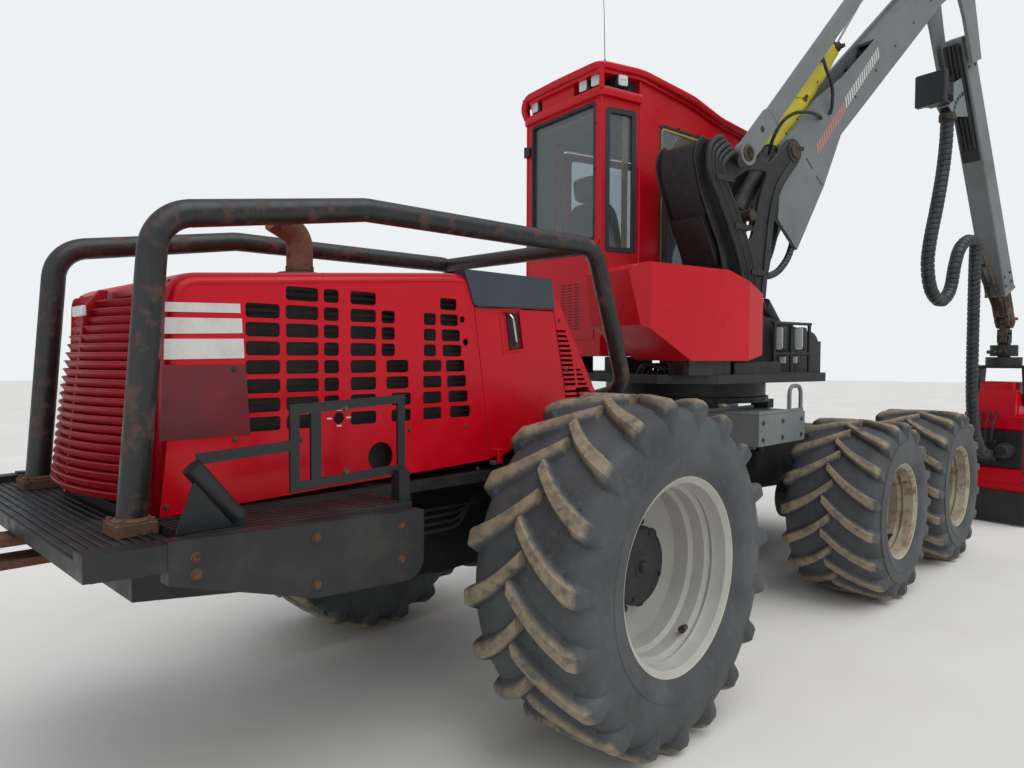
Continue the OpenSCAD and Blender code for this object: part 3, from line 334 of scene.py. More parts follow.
def facing(shape, axes):
    """A shape drawn in its own a, b and thickness c, laid into space: axes name where a and b go."""
    out = np.empty_like(shape[0])
    for i, k in enumerate(AXES[axes]):
        out[:, k] = shape[0][:, i]
    return outward((out, shape[1]))


def piece(name, shapes, look, body, smooth=30, replaces=(), slot=None, place=None):
    """Puts shapes, each passed through place, into one mesh object with the finish named look.

    It rides on a body, or on none when none is given. Its slot is worked out from its finish unless one is
    given, but nothing uses it.
    """
    points, faces = joined([moved(k, place) for k in shapes] if place else shapes)
    mesh = bpy.data.meshes.new(name)
    mesh.from_pydata(points, [], [row for f in faces for row in f.tolist()])
    mesh.validate()
    mesh.shade_smooth()
    mesh.set_sharp_from_angle(angle=math.radians(smooth))
    made = bpy.data.objects.new(name, mesh)
    made.data.materials.append(FINISHES[look])
    bpy.context.scene.collection.objects.link(made)
    if body:
        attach(made, body)
    if replaces:
        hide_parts(*replaces)
    slot = slot or SLOTS[look]
    return made


def point_values(thing, name, values):
    """Gives each point of a mesh a number that its material reads."""
    layer = thing.data.attributes.new(name, "FLOAT", "POINT")
    layer.data.foreach_set("value", np.asarray(values, np.float32))


# Materials

def linear(code):
    """A colour written as sRGB hex, turned to linear light: ((c + 0.055) / 1.055) ^ 2.4."""
    v = np.array([int(code[i:i + 2], 16) for i in (1, 3, 5)]) / 255
    v = np.where(v <= 0.04045, v / 12.92, ((v + 0.055) / 1.055) ** 2.4)
    return (*v.tolist(), 1.0)


def add(tree, kind, settings=(), links=()):
    """Adds a shader node: settings go to its properties or sockets, links join other sockets to its own."""
    made = tree.nodes.new("ShaderNode" + kind)
    for key, value in dict(settings).items():
        if isinstance(key, str) and hasattr(made, key):
            setattr(made, key, value)
        else:
            made.inputs[key].default_value = value
    for key, source in dict(links).items():
        tree.links.new(source, made.inputs[key])
    return made


def blank(name):
    """An empty material with its output node."""
    made = bpy.data.materials.new(name)
    made.use_nodes = True
    made.node_tree.nodes.clear()
    return made, made.node_tree, add(made.node_tree, "OutputMaterial")


def patches(tree, where, scale, low, high, detail=5.0, rough=0.6):
    """Cloud noise turned into a mask: 0 below low, 1 above high."""
    cloud = add(tree, "TexNoise", {"Scale": scale, "Detail": detail, "Roughness": rough}, {"Vector": where})
    return add(tree, "MapRange", {1: low, 2: high, "clamp": True}, {0: cloud.outputs[0]}).outputs[0]


def blend(tree, mask, a, b):
    """Mixes two colours, each a hex code or a socket, by a mask."""
    made = add(tree, "Mix", {"data_type": "RGBA"}, {0: mask})
    for key, value in ((6, a), (7, b)):
        if isinstance(value, str):
            made.inputs[key].default_value = linear(value)
        else:
            tree.links.new(value, made.inputs[key])
    return made.outputs[2]


def surface(name, base, faded, patch=1.4, spread=(0.4, 0.75), chips=None, chip_scale=14, chip_at=(0.64, 0.67),
            dirt=None, dirt_scale=3, dirt_at=(0.45, 0.8), rough=0.45, chip_rough=0.8, metal=0.0, bump=0.15,
            grain=180, coat=0.0, gloss=0.5):
    """A worn finish: base fades in broad clouds, chips break through in small ones, dirt lies over both."""
    made, tree, out = blank(name)
    where = add(tree, "TexCoord").outputs["Object"]
    colour = blend(tree, patches(tree, where, patch, *spread), base, faded)
    mottle = patches(tree, where, patch * 9, 0.35, 0.75, 3)
    shade = add(tree, "Mix", {"data_type": "RGBA", "blend_type": "MULTIPLY", 0: 0.22}, {6: colour})
    tint = add(tree, "MapRange", {3: 0.7, 4: 1.0}, {0: mottle})
    tree.links.new(tint.outputs[0], shade.inputs[7])
    colour = shade.outputs[2]
    roughness = add(tree, "MapRange", {3: rough * 0.8, 4: min(1, rough * 1.25)}, {0: mottle}).outputs[0]
    height = mottle
    if chips:
        mask = patches(tree, where, chip_scale, *chip_at, 9, 0.7)
        colour = blend(tree, mask, colour, chips)
        roughness = add(tree, "Mix", {3: chip_rough}, {0: mask, 2: roughness}).outputs[0]
        height = add(tree, "Math", {"operation": "SUBTRACT"}, {0: mottle, 1: mask}).outputs[0]
    if dirt:
        mask = patches(tree, where, dirt_scale, *dirt_at, 8, 0.68)
        colour = blend(tree, mask, colour, dirt)
        roughness = add(tree, "Mix", {3: 0.92}, {0: mask, 2: roughness}).outputs[0]
    fine = add(tree, "TexNoise", {"Scale": grain, "Detail": 3.0}, {"Vector": where}).outputs[0]
    relief = add(tree, "Math", {"operation": "MULTIPLY_ADD", 1: 0.3}, {0: fine, 2: height}).outputs[0]
    normal = add(tree, "Bump", {"Strength": bump, "Distance": 0.003}, {"Height": relief}).outputs[0]
    shader = add(tree, "BsdfPrincipled", {"Metallic": metal, "Coat Weight": coat, "Coat Roughness": 0.12,
            "Specular IOR Level": gloss}, {"Base Color": colour, "Roughness": roughness, "Normal": normal})
    tree.links.new(shader.outputs[0], out.inputs[0])
    return made


FINISHES = {}
# Slot of each finish
SLOTS = {look: slot for slot, looks in {
    "tread": "tyre",
    "cream_rim": "flange",
    "iron": "iron",
    "red_paint": "enamel foil_dark seal chrome enamel_deep lining foam",
    "black_paint": "mesh film_white panel_dark chassis casting lamp_body",
    "engine_iron": "engine",
    "lamp": "lens",
    "rust": "rust",
    "cloth": "cloth",
    "grey_paint": "hose crane",
    "yellow_sleeve": "sleeve",
}.items() for look in looks.split()}


def coat_node(name, material):
    """Gives a CAD node's slots a material."""
    thing = NODES[name]
    if not thing.material_slots:
        thing.data.materials.append(material)
    for place in thing.material_slots:
        place.material = material


class HarvesterColours(bpy.types.PropertyGroup):
    """Colours of the finishes, as sRGB hex."""

    enamel: bpy.props.StringProperty(name="Red enamel", description="Baked enamel of hood, cab and head",
        default="#C3001A")
    enamel_faded: bpy.props.StringProperty(name="Faded red", description="Enamel bleached by the sun",
        default="#CC0C20")
    chassis: bpy.props.StringProperty(name="Chassis black", description="Paint of frames, guard and bumper",
        default="#1B1C1E")
    crane: bpy.props.StringProperty(name="Crane grey", description="Paint of boom and stick",
        default="#6D7172")
    rim: bpy.props.StringProperty(name="Rim grey", description="Paint of the rear rims", default="#B3B1AB")
    rubber: bpy.props.StringProperty(name="Tyre rubber", description="Weathered tyre rubber",
        default="#3C3E40")
    dust: bpy.props.StringProperty(name="Dried mud", description="Mud on the lug tops", default="#91836B")
    floor: bpy.props.StringProperty(name="Floor", description="Pale studio floor", default="#E4E2DE")


class HarvesterWheels(bpy.types.PropertyGroup):
    """Sizes of the wheels."""

    rear_lugs: bpy.props.IntProperty(name="Rear lug pairs",
        description="Number of lug pairs on a rear tyre", default=19, min=12, max=24)
    bogie_lugs: bpy.props.IntProperty(name="Bogie lug pairs",
        description="Number of lug pairs on a bogie tyre", default=17, min=12, max=22)
    lug_height: bpy.props.FloatProperty(name="Lug height", description="Height of a lug at the tread",
        default=0.045, unit="LENGTH")
    lug_width: bpy.props.FloatProperty(name="Lug width", description="Width of a lug's top", default=0.052,
        unit="LENGTH")


class HarvesterBody(bpy.types.PropertyGroup):
    """Sizes of hood and crane trim."""

    vent_height: bpy.props.FloatProperty(name="Vent height",
        description="Height of one air opening in the hood", default=0.053, unit="LENGTH")
    sheet: bpy.props.FloatProperty(name="Sheet thickness", description="Thickness of a hood panel",
        default=0.004, unit="LENGTH")
    fins: bpy.props.IntProperty(name="Grille fins", description="Number of fins in the rear grille",
        default=22, min=12, max=28)
    hose: bpy.props.FloatProperty(name="Hose diameter", description="Outer diameter of a crane hose",
        default=0.026, unit="LENGTH")


class HARVESTER_OT_finishes(bpy.types.Operator):
    """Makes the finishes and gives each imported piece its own."""

    bl_idname = "harvester.finishes"
    bl_label = "Finishes"

    def execute(self, context):
        c = context.scene.harvester_colours
        f = FINISHES
        # Baked two-part enamel, sprayed: satin, with broad sun-faded clouds and fine scratches.
        f["enamel"] = surface("baked_enamel_red", c.enamel, c.enamel_faded, 0.9, (0.35, 0.8),
            chips="#7A2A24", chip_scale=30, chip_at=(0.72, 0.73), rough=0.34, bump=0.05, coat=0.10,
            gloss=0.28)
        # The same enamel made a deeper red where it lies in shade: painted shade on the grille's slats, posts
        # and frame.
        f["enamel_deep"] = surface("baked_enamel_red_painted_shade", "#A00A1A", "#8A0B18", 1.2, rough=0.4, bump=0.05,
            gloss=0.3)
        # Brushed-on chassis paint: satin black, greyed by dust.
        f["chassis"] = surface("chassis_paint_black", c.chassis, "#2B2C2D", 1.5, (0.4, 0.75),
            chips="#4A3226", chip_scale=22, chip_at=(0.68, 0.72), dirt="#4E4A43", dirt_scale=2.5,
            dirt_at=(0.52, 0.95), rough=0.5, bump=0.2)
        # Guard tubes: black paint rubbed off by branches down to brown rust.
        f["guard"] = surface("chassis_paint_rubbed", "#1C1D1F", "#2A2A2B", 2, chips="#5E4038", chip_scale=9,
                             chip_at=(0.52, 0.66), rough=0.4, bump=0.3)
        # Weathered bare steel: brown flash rust.
        f["rust"] = surface("weathering_rust", "#5A3A2B", "#75503C", 6, chips="#33241D", chip_scale=18,
            chip_at=(0.55, 0.62), rough=0.85, bump=0.5)
        # Satin machine enamel of the crane: mid grey with scuffs.
        f["crane"] = surface("machine_enamel_grey", c.crane, "#7B8080", 1.1, chips="#4E4F4E", chip_scale=26,
            chip_at=(0.66, 0.7), dirt="#575651", dirt_scale=1.8, dirt_at=(0.55, 0.95), rough=0.42,
            bump=0.12)
        # Cast and oily crane foot: near-black paint over castings.
        f["casting"] = surface("cast_iron_painted", "#161617", "#26262A", 2, chips="#3A2E27", chip_scale=16,
            chip_at=(0.62, 0.68), dirt="#3B3834", dirt_at=(0.5, 0.9), rough=0.55, bump=0.35)
        # Oiled steel of the crane's tip: brown, dusty.
        f["iron"] = surface("oiled_forged_steel", "#4A3F36", "#6A5B4C", 5, chips="#2A2420", chip_scale=20,
            chip_at=(0.5, 0.6), rough=0.7, metal=0.3, bump=0.4)
        # Hard-chromed ground rod: mirror with faint oil film.
        f["chrome"] = surface("hard_chromed_rod", "#C9CCCE", "#B4B8BA", 6, rough=0.12, metal=1.0, bump=0.02)
        # Polyester sleeve: matt yellow, scuffed to black.
        f["sleeve"] = surface("polyester_sleeve_yellow", "#C9BC22", "#B7A52A", 4, chips="#2A2A1E",
            chip_scale=7, chip_at=(0.58, 0.6), rough=0.7, bump=0.3)
        # Powder-coated steel of the rear rims: pale grey.
        f["rim"] = surface("powder_coated_steel_grey", c.rim, "#A5A39B", 2, chips="#6E5844", chip_scale=24,
            chip_at=(0.68, 0.7), rough=0.4, bump=0.1)
        # The same coat gone cream and rust-stained inside the bogie rims.
        f["rim_rusty"] = surface("powder_coated_steel_stained", "#A39B86", "#8A7A60", 4, chips="#7B5232",
            chip_scale=7, chip_at=(0.5, 0.62), rough=0.6, bump=0.25)
        # Rim flange: cream paint, clean from rubbing.
        f["flange"] = surface("powder_coated_steel_cream", "#C8C0A6", "#B9AF92", 6, chips="#8A6B4A",
            chip_scale=20, chip_at=(0.68, 0.72), rough=0.45, bump=0.1)
        # Expanded mesh of galvanised steel, dull brown-black with dust.
        f["mesh"] = surface("expanded_steel_mesh", "#2E2926", "#4A403A", 12, rough=0.75, bump=0.1)
        # Reflective film: white, yellowed at its edges.
        f["film_white"] = surface("reflective_film_white", "#D8D6D2", "#C9C2BC", 8, chips="#8F7F7A",
            chip_scale=40, chip_at=(0.7, 0.73), rough=0.35, bump=0.05)
        # Faded foil: dark red, blotched; the same dark red is painted shade behind the cab's louvres.
        f["foil_dark"] = surface("printed_foil_and_shade_dark_red", "#541720", "#7E1A26", 3, (0.35, 0.75), rough=0.45,
            bump=0.05)
        # Painted panel: satin slate grey.
        f["panel_dark"] = surface("satin_enamel_slate", "#2F3B43", "#3A464E", 3, rough=0.35, bump=0.05,
            coat=0.2)
        # Moulded rubber and nylon-wrapped hose: matt black.
        f["hose"] = surface("hydraulic_hose_rubber", "#17181A", "#2A2A2B", 8, chips="#5A5348",
            chip_scale=24, chip_at=(0.62, 0.7), rough=0.6, bump=0.3)
        # Injection-moulded polypropylene spiral guard: black, grey where it is rubbed.
        f["spiral"] = surface("polypropylene_spiral", "#232527", "#3B3E40", 10, rough=0.45, bump=0.1)
        # Upholstery and cab lining: grey-black, soft.
        f["cloth"] = surface("woven_seat_cloth", "#2F3438", "#3A4045", 9, rough=0.9, bump=0.4, grain=700)
        # Moulded window frame: dark grey rubber; the same dark grey is painted shade in the boom's slots, the
        # tie bar's hole, the latch well and the lamps' recess.
        f["seal"] = surface("window_seal_rubber_and_shade", "#24292C", "#2E3437", 5, rough=0.6, bump=0.1)
        # Lamp lens: clear polycarbonate, given a white colour: painted reflection of the sky and of the
        # reflector behind it.
        f["lens"] = surface("polycarbonate_lens_painted_reflection", "#DADCDC", "#C6CACB", 20, rough=0.15, bump=0.3, coat=0.6)
        # Ribbed black body of a lamp.
        f["lamp_body"] = surface("die_cast_lamp_body", "#1D1E20", "#2B2D2F", 10, rough=0.5, bump=0.1)
        # Sand-cast engine parts: dark, oily; the same dark is painted shade on the sheets inside the hood.
        f["engine"] = surface("engine_casting_and_shade", "#2C2A29", "#3D3835", 6, dirt="#2A2522", rough=0.75, bump=0.5)
        # Moulded cab lining: light grey plastic.
        f["lining"] = surface("moulded_liner_grey", "#7C8488", "#6B7377", 3, rough=0.7, bump=0.1)
        # Foam tape round the panes: yellowed cream.
        f["foam"] = surface("foam_tape_yellowed", "#D0B06A", "#B8965A", 14, chips="#8A6D3C", chip_scale=18,
            chip_at=(0.6, 0.66), rough=0.85, bump=0.3)
        # Printed film stripe, once red, gone pink in the sun.
        f["pink"] = surface("reflective_film_faded_red", "#C98076", "#B77B73", 10, rough=0.5, bump=0.05)
        made, tree, out = blank("tinted_safety_glass")
        # Laminated safety glass: clear with a cool tint, mirror-smooth.
        shader = add(tree, "BsdfPrincipled", {"Base Color": linear("#C3CDD1"), "Roughness": 0.02, "IOR": 1.45,
                                               "Transmission Weight": 0.92, "Coat Weight": 0.3})
        tree.links.new(shader.outputs[0], out.inputs[0])
        f["glass"] = made
        f["tyre"] = tyre_rubber(c.rubber, c.dust)
        for name, nodes in {
            "chassis": "front_frame bogie_left bogie_right leveller rear_frame rear_axle bumper side_step "
                       "turntable",
            "guard": "guard", "rust": "hitch exhaust", "engine": "engine",
            "crane": "boom tie_bar stick front_step",
            "casting": "lever lift_barrel cross_link rotator feed_arm_left feed_arm_right knife_left "
                       "knife_right",
            "sleeve": "fold_barrel", "chrome": "lift_rod fold_rod saw_bar", "iron": "extension tip_link",
            "enamel": "hood service_door tank cab cab_door head_frame", "enamel_deep": "grille",
            "glass": "cab_glass door_glass", "cloth": "seat", "lens": "work_lamps",
            "rim": "rim_rear_left rim_rear_right", "tyre": "tyre_rear_left tyre_rear_right",
            "rim_rusty": "rim_bogie_rear_left rim_bogie_rear_right rim_bogie_front_left "
                         "rim_bogie_front_right",
        }.items():
            for each in nodes.split():
                coat_node(each, f[name])
        return {"FINISHED"}


def tyre_rubber(rubber, dust):
    """Vulcanised rubber, weathered grey; dried mud lies where the points' number says, broken up by noise."""
    made, tree, out = blank("vulcanised_tyre_rubber")
    where = add(tree, "TexCoord").outputs["Object"]
    colour = blend(tree, patches(tree, where, 3.5, 0.35, 0.75, 8), rubber, "#55585A")
    scuff = patches(tree, where, 26, 0.55, 0.8, 8, 0.7)
    colour = blend(tree, scuff, colour, "#63635F")
    worn = add(tree, "Attribute", {"attribute_name": "mud"}).outputs["Fac"]
    cloud = patches(tree, where, 17, 0.3, 0.55, 8, 0.7)
    mask = add(tree, "Math", {"operation": "MULTIPLY"}, {0: worn, 1: cloud}).outputs[0]
    colour = blend(tree, mask, colour, dust)
    rough = add(tree, "MapRange", {3: 0.58, 4: 0.85}, {0: scuff}).outputs[0]
    fine = add(tree, "TexNoise", {"Scale": 90.0, "Detail": 6.0, "Roughness": 0.7},
        {"Vector": where}).outputs[0]
    normal = add(tree, "Bump", {"Strength": 0.35, "Distance": 0.006}, {"Height": fine}).outputs[0]
    shader = add(tree, "BsdfPrincipled", {"Specular IOR Level": 0.4},
        {"Base Color": colour, "Roughness": rough, "Normal": normal})
    tree.links.new(shader.outputs[0], out.inputs[0])
    return made


# Sizes of a wheel: tyre radius, tyre width, bead radius, track to the middle, rim radius, hub cover radius
REAR_WHEEL = (0.80, 0.64, 0.428, 1.105, 0.457, 0.185)
BOGIE_WHEEL = (0.655, 0.68, 0.333, 1.08, 0.362, 0.150)
# Wheels: axle's place, side, whether it is a rear wheel
WHEELS = {
    "rear_left": (0, 1, True), "rear_right": (0, -1, True),
    "bogie_rear_left": (2.975, 1, False), "bogie_rear_right": (2.975, -1, False),
    "bogie_front_left": (4.485, 1, False), "bogie_front_right": (4.485, -1, False),
}


def tyre_shape(r, w, bead, count, height, width):
    """Tyre about the y axis, outer side towards -y, forward roll taking the top to +x.

    The casing is a rounded profile turned about y. Each lug is a grid: along it v runs from the tread's
    middle over the shoulder down the side wall, and lies back by 0.31 (v - 0.33 v^2) metres; across it eight
    points rise from the casing to the lug's top. Returns shapes and mud values.
    """
    h = w / 2
    low = r - height
    side = np.array([[bead, h - 0.052], [bead + 0.012, h - 0.03], [bead + 0.03, h - 0.026],
            [bead + 0.05, h - 0.012], [bead + 0.085, h - 0.004], [bead + 0.11, h - 0.001],
            [bead + 0.113, h - 0.004], [bead + 0.14, h - 0.001], [bead + 0.18, h - 0.004],
            [r - 0.14, h - 0.012], [r - 0.105, h - 0.02], [low - 0.035, h - 0.035],
            [low - 0.014, h - 0.066], [low - 0.004, h - 0.12], [low, 0.06], [low, 0]])
    inner = np.array([[bead - 0.001, 0], [bead - 0.001, h - 0.055]])
    half = np.concatenate([inner[1:], side])
    profile = np.concatenate([half, (half * [1, -1])[::-1][1:]])
    casing = turned(profile, 96)
    v = np.concatenate([[-0.09, -0.085], np.linspace(-0.04, 0.9, 8), [0.97, 1.03, 1.10, 1.22, 1.34, 1.42]])
    across = np.clip(v, -0.1, 1) * (h - 0.02)
    down = np.clip(v - 0.93, 0, None)
    # Casing and top along the lug: radius falls over the shoulder, the side wall is followed below it
    tops = r - 0.006 * np.clip(v, 0, 1) ** 2 - np.where(v > 0.9, (np.clip(v, 0.9, 9) - 0.9) ** 1.5 * 0.62, 0)
    reach = np.where(v < 0.93, across, (h - 0.02) * 0.93 + np.minimum(down * 0.32, 0.036))
    fall = np.clip((v - 1.1) / 0.32, 0, 1)
    reach = np.minimum(reach, h - 0.002) - fall * 0.006
    base_r = np.minimum(tops - height * 1.15, low) - 0.02
    base_y = np.where(v < 0.9, reach, reach - 0.05)
    back = 0.31 * (np.clip(v, -0.1, 1.15) - 0.33 * np.clip(v, -0.1, 1.15) ** 2)
    wide = width * (1 + 0.25 * np.clip(v, 0, 1)) * (1 - 0.35 * fall)
    # Across the lug: sideways place, and how far up from casing to top
    cross = np.array([[-1.0, 0], [-0.74, 0.62], [-0.55, 0.93], [-0.45, 1], [0.45, 1], [0.55, 0.93],
            [0.74, 0.62], [1.0, 0]])
    up = cross[None, :, 1] * (1 - (v < -0.086)[:, None] * 0.55)
    rr = base_r[:, None] + (tops - base_r)[:, None] * up
    yy = base_y[:, None] + (reach - base_y)[:, None] * up
    spread = cross[None, :, 0] * (wide[:, None] + 0.012 * (1 - up))
    angle = -(back[:, None]) / r + spread / r
    grid = np.stack([rr * np.sin(angle), -yy, rr * np.cos(angle)], -1)
    one = skin(grid, round_cols=True, ends=True)
    mud_one = np.where((cross[None, :, 1] > 0.9) & (v[:, None] < 0.99), 1.0, 0.0) * np.ones((len(v), 1))
    turn = np.arange(count) * 2 * math.pi / count
    right = spun(one, turn, np.zeros(3))
    left = flipped(spun(one, turn + math.pi / count, np.zeros(3)))
    mud = np.concatenate([np.zeros(len(casing[0])), np.tile(mud_one.ravel(), 2 * count)])
    return [casing, right, left], mud


class HARVESTER_OT_tyres(bpy.types.Operator):
    """Makes the six tyres with their chevron lugs."""

    bl_idname = "harvester.tyres"
    bl_label = "Tyres"

    def execute(self, context):
        s = context.scene.harvester_wheels
        for name, (x, side, rear) in WHEELS.items():
            r, w, bead, track = (REAR_WHEEL if rear else BOGIE_WHEEL)[:4]
            shapes, mud = tyre_shape(r - 0.001, w - 0.002, bead, s.rear_lugs if rear else s.bogie_lugs,
                s.lug_height, s.lug_width * (1 if rear else 0.9))
            if side > 0:
                shapes = [flipped(k) for k in shapes]
            shapes = [spun(k, [0.11 * (1 + x)], np.zeros(3)) for k in shapes]
            shapes = [(p + machine([x, side * track, r]), f) for p, f in shapes]
            made = piece("tread_" + name, shapes, "tyre", "wheel_" + name, replaces=["tyre_" + name])
            point_values(made, "mud", mud)
        return {"FINISHED"}


class HARVESTER_OT_rims(bpy.types.Operator):
    """Makes the six rims: turned barrel with ridges, disc, hub cover, bolts and valve."""

    bl_idname = "harvester.rims"
    bl_label = "Rims"

    def execute(self, context):
        for name, (x, side, rear) in WHEELS.items():
            tyre_r, w, _, track, r, hub = REAR_WHEEL if rear else BOGIE_WHEEL
            body = "wheel_" + name
            h = w / 2 - 0.031
            seat = r - 0.031
            wall = [(seat, h - 0.028), (r - 0.004, h - 0.012), (r, h - 0.006), (r - 0.004, h),
                (r - 0.016, h), (seat - 0.014, h - 0.02), (seat - 0.02, h - 0.07),
                (seat - 0.028, h - 0.085), (seat - 0.02, h - 0.10), (seat - 0.024, h - 0.135),
                (seat - 0.036, h - 0.15), (seat - 0.026, h - 0.165), (seat - 0.06, h - 0.20),
                (seat - 0.06, 0.012), (hub + 0.05, 0.0), (hub + 0.03, 0.006), (0.04, 0.006), (0.04, -0.018),
                (hub + 0.04, -0.018), (seat - 0.052, -0.01), (seat - 0.052, -h + 0.13),
                (seat - 0.02, -h + 0.09), (seat - 0.014, -h), (r, -h), (r, -h + 0.012), (seat, -h + 0.02),
                (seat - 0.004, -h + 0.09), (seat - 0.042, -h + 0.12), (seat - 0.042, h - 0.12),
                (seat - 0.004, h - 0.09)]
            shell = turned(wall, 96, (0, 0, 0), (0, -1, 0))
            lip = turned([(r - 0.001, h - 0.013), (r, h - 0.006), (r - 0.003, h + 0.0006),
                    (r - 0.017, h + 0.0006), (r - 0.022, h - 0.006)], 96, (0, 0, 0), (0, -1, 0))
            cap = turned([(0.001, 0.09), (0.022, 0.09), (0.026, 0.084), (0.03, 0.074), (0.052, 0.074),
                    (0.056, 0.07), (hub - 0.02, 0.07), (hub - 0.008, 0.064), (hub, 0.05), (hub, 0.006),
                    (0.001, 0.006)], 64, (0, 0, 0), (0, -1, 0))
            studs = spun(hexes([(hub - 0.03, -0.07, 0)], (0, -1, 0), 0.009, 0.007),
                np.arange(4) * math.pi / 2 + 0.4, np.zeros(3))
            nuts = spun(hexes([(hub + 0.02, -0.006, 0)], (0, -1, 0), 0.016, 0.022),
                np.arange(10) * math.pi / 5, np.zeros(3))
            valve = turned([(0.001, 0.05), (0.011, 0.05), (0.013, 0.044), (0.013, 0.018), (0.018, 0.016),
                    (0.018, 0), (0.001, 0)], 16, (seat - 0.058, -0.17, 0), (-0.7, -0.7, 0))
            valve = spun(valve, [1.05], np.zeros(3))

            def set_at(shapes):
                out = [flipped(k) if side > 0 else k for k in shapes]
                return [(p + machine([x, side * track, tyre_r]), f) for p, f in out]

            piece("rim_wall_" + name, set_at([shell]), "rim" if rear else "rim_rusty", body,
                replaces=["rim_" + name], slot="cream_rim")
            piece("rim_lip_" + name, set_at([lip]), "flange", body)
            piece("hub_cover_" + name, set_at([cap, studs, nuts]), "casting" if rear else "rim_rusty", body,
                slot="black_paint")
            piece("valve_" + name, set_at([valve]), "iron", body)
        return {"FINISHED"}


# Hood: the height of its lower edge, and the side view of its top edge
HOOD_FOOT = 1.226
RIDGE = [(-1.925, HOOD_FOOT), (-1.88, 2.05), (-0.60, 2.155), (0.07, 2.125), (0.46, 1.52), (0.498, HOOD_FOOT)]
# Half the hood's width, and the radius of its long upper edges
HALF = 0.570
ROUND = 0.045


def hood_arch():
    """The hood's bent top and ends.

    Each point of the ridge carries a cross-section that is flat in the middle and turns down over radius r at
    both sides: y = HALF - r + r sin a, depth = r (1 - cos a). The radius is ROUND, less in front.
    """
    path = smooth_path([(x, 0, z) for x, z in RIDGE], 0.10, 6)
    t = np.gradient(path, axis=0)
    t /= np.linalg.norm(t, axis=1, keepdims=True)
    inward = np.stack([t[:, 2], 0 * t[:, 0], -t[:, 0]], -1)
    a = np.linspace(math.pi / 2, 0, 6)
    r = np.interp(path[:, 0], [0.0, 0.10], [ROUND, 0.02])[:, None]
    y = np.concatenate([HALF - r + r * np.sin(a), (HALF - r) * np.linspace(1, -1, 9)[1:-1],
            -(HALF - r + r * np.sin(a[::-1]))], 1)
    d = np.concatenate([r * (1 - np.cos(a)), 0 * r + np.zeros(7), r * (1 - np.cos(a[::-1]))], 1)
    grid = path[:, None] + inward[:, None] * d[:, :, None] + np.array([0, 1, 0]) * y[:, :, None]
    return path, inward * r, grid


def hood_side_outline():
    """The ridge drawn in by its rounding, above the hood's lower edge."""
    path, inward, _ = hood_arch()
    p = path + inward
    keep = p[:, 2] > HOOD_FOOT
    return p[keep][:, [0, 2]]


# Air openings: heights of their rows' tops, then (rear end, front end, row) of each
VENT_TOPS = [2.032, 1.961, 1.892, 1.823, 1.754, 1.684, 1.614, 1.544]
VENTS = ([(-1.615, -1.482, k) for k in range(1, 8)] + [(-1.457, -1.320, k) for k in range(0, 8)]
    + [(-1.296, -1.229, k) for k in range(0, 7)] + [(-1.175, -1.052, k) for k in range(0, 8)]
    + [(-1.024, -0.956, k) for k in range(1, 4)] + [(-1.000, -0.885, k) for k in range(4, 6)]
    + [(-0.975, -0.872, k) for k in range(6, 8)] + [(-0.800, -0.732, k) for k in range(1, 4)]
    + [(-0.708, -0.612, 0), (-0.707, -0.603, 1), (-0.700, -0.590, 2), (-0.694, -0.582, 3)]
    + [(-0.805, -0.700, k) for k in range(4, 8)]
    + [(-0.674, -0.562, 4), (-0.668, -0.552, 5), (-0.660, -0.542, 6), (-0.650, -0.528, 7)])
# Outline of the service door
DOOR = [(-0.505, 2.006), (0.058, 2.012), (0.190, 1.42), (0.150, 1.402), (-0.06, 1.402), (-0.33, 1.277),
    (-0.393, 1.277)]


def vent_holes(height):
    """Outlines of the hood's air openings."""
    return [rounded(b - a, height, 0.012, 3, ((a + b) / 2, VENT_TOPS[k] - height / 2)) for a, b, k in VENTS]


def lattice(x0, x1, z0, z1, y, pitch=0.026, rise=0.011, wire=0.0035):
    """Expanded mesh: zigzag ribbons, z = row * 2 rise +- rise, each a grid of two rows of points."""
    n = int((x1 - x0) / pitch * 2)
    m = int((z1 - z0) / (2 * rise)) + 1
    x = np.linspace(x0, x1, n)
    shapes = []
    for row in range(m):
        for flip in (0, 1):
            z = z0 + row * 2 * rise + rise * ((np.arange(n) + flip) % 2)
            lower = np.stack([x, np.full(n, y + flip * 0.002), z - wire / 2], -1)
            upper = lower + [0, -0.003, wire]
            shapes.append(skin(np.stack([lower, upper])))
    return joined(shapes)


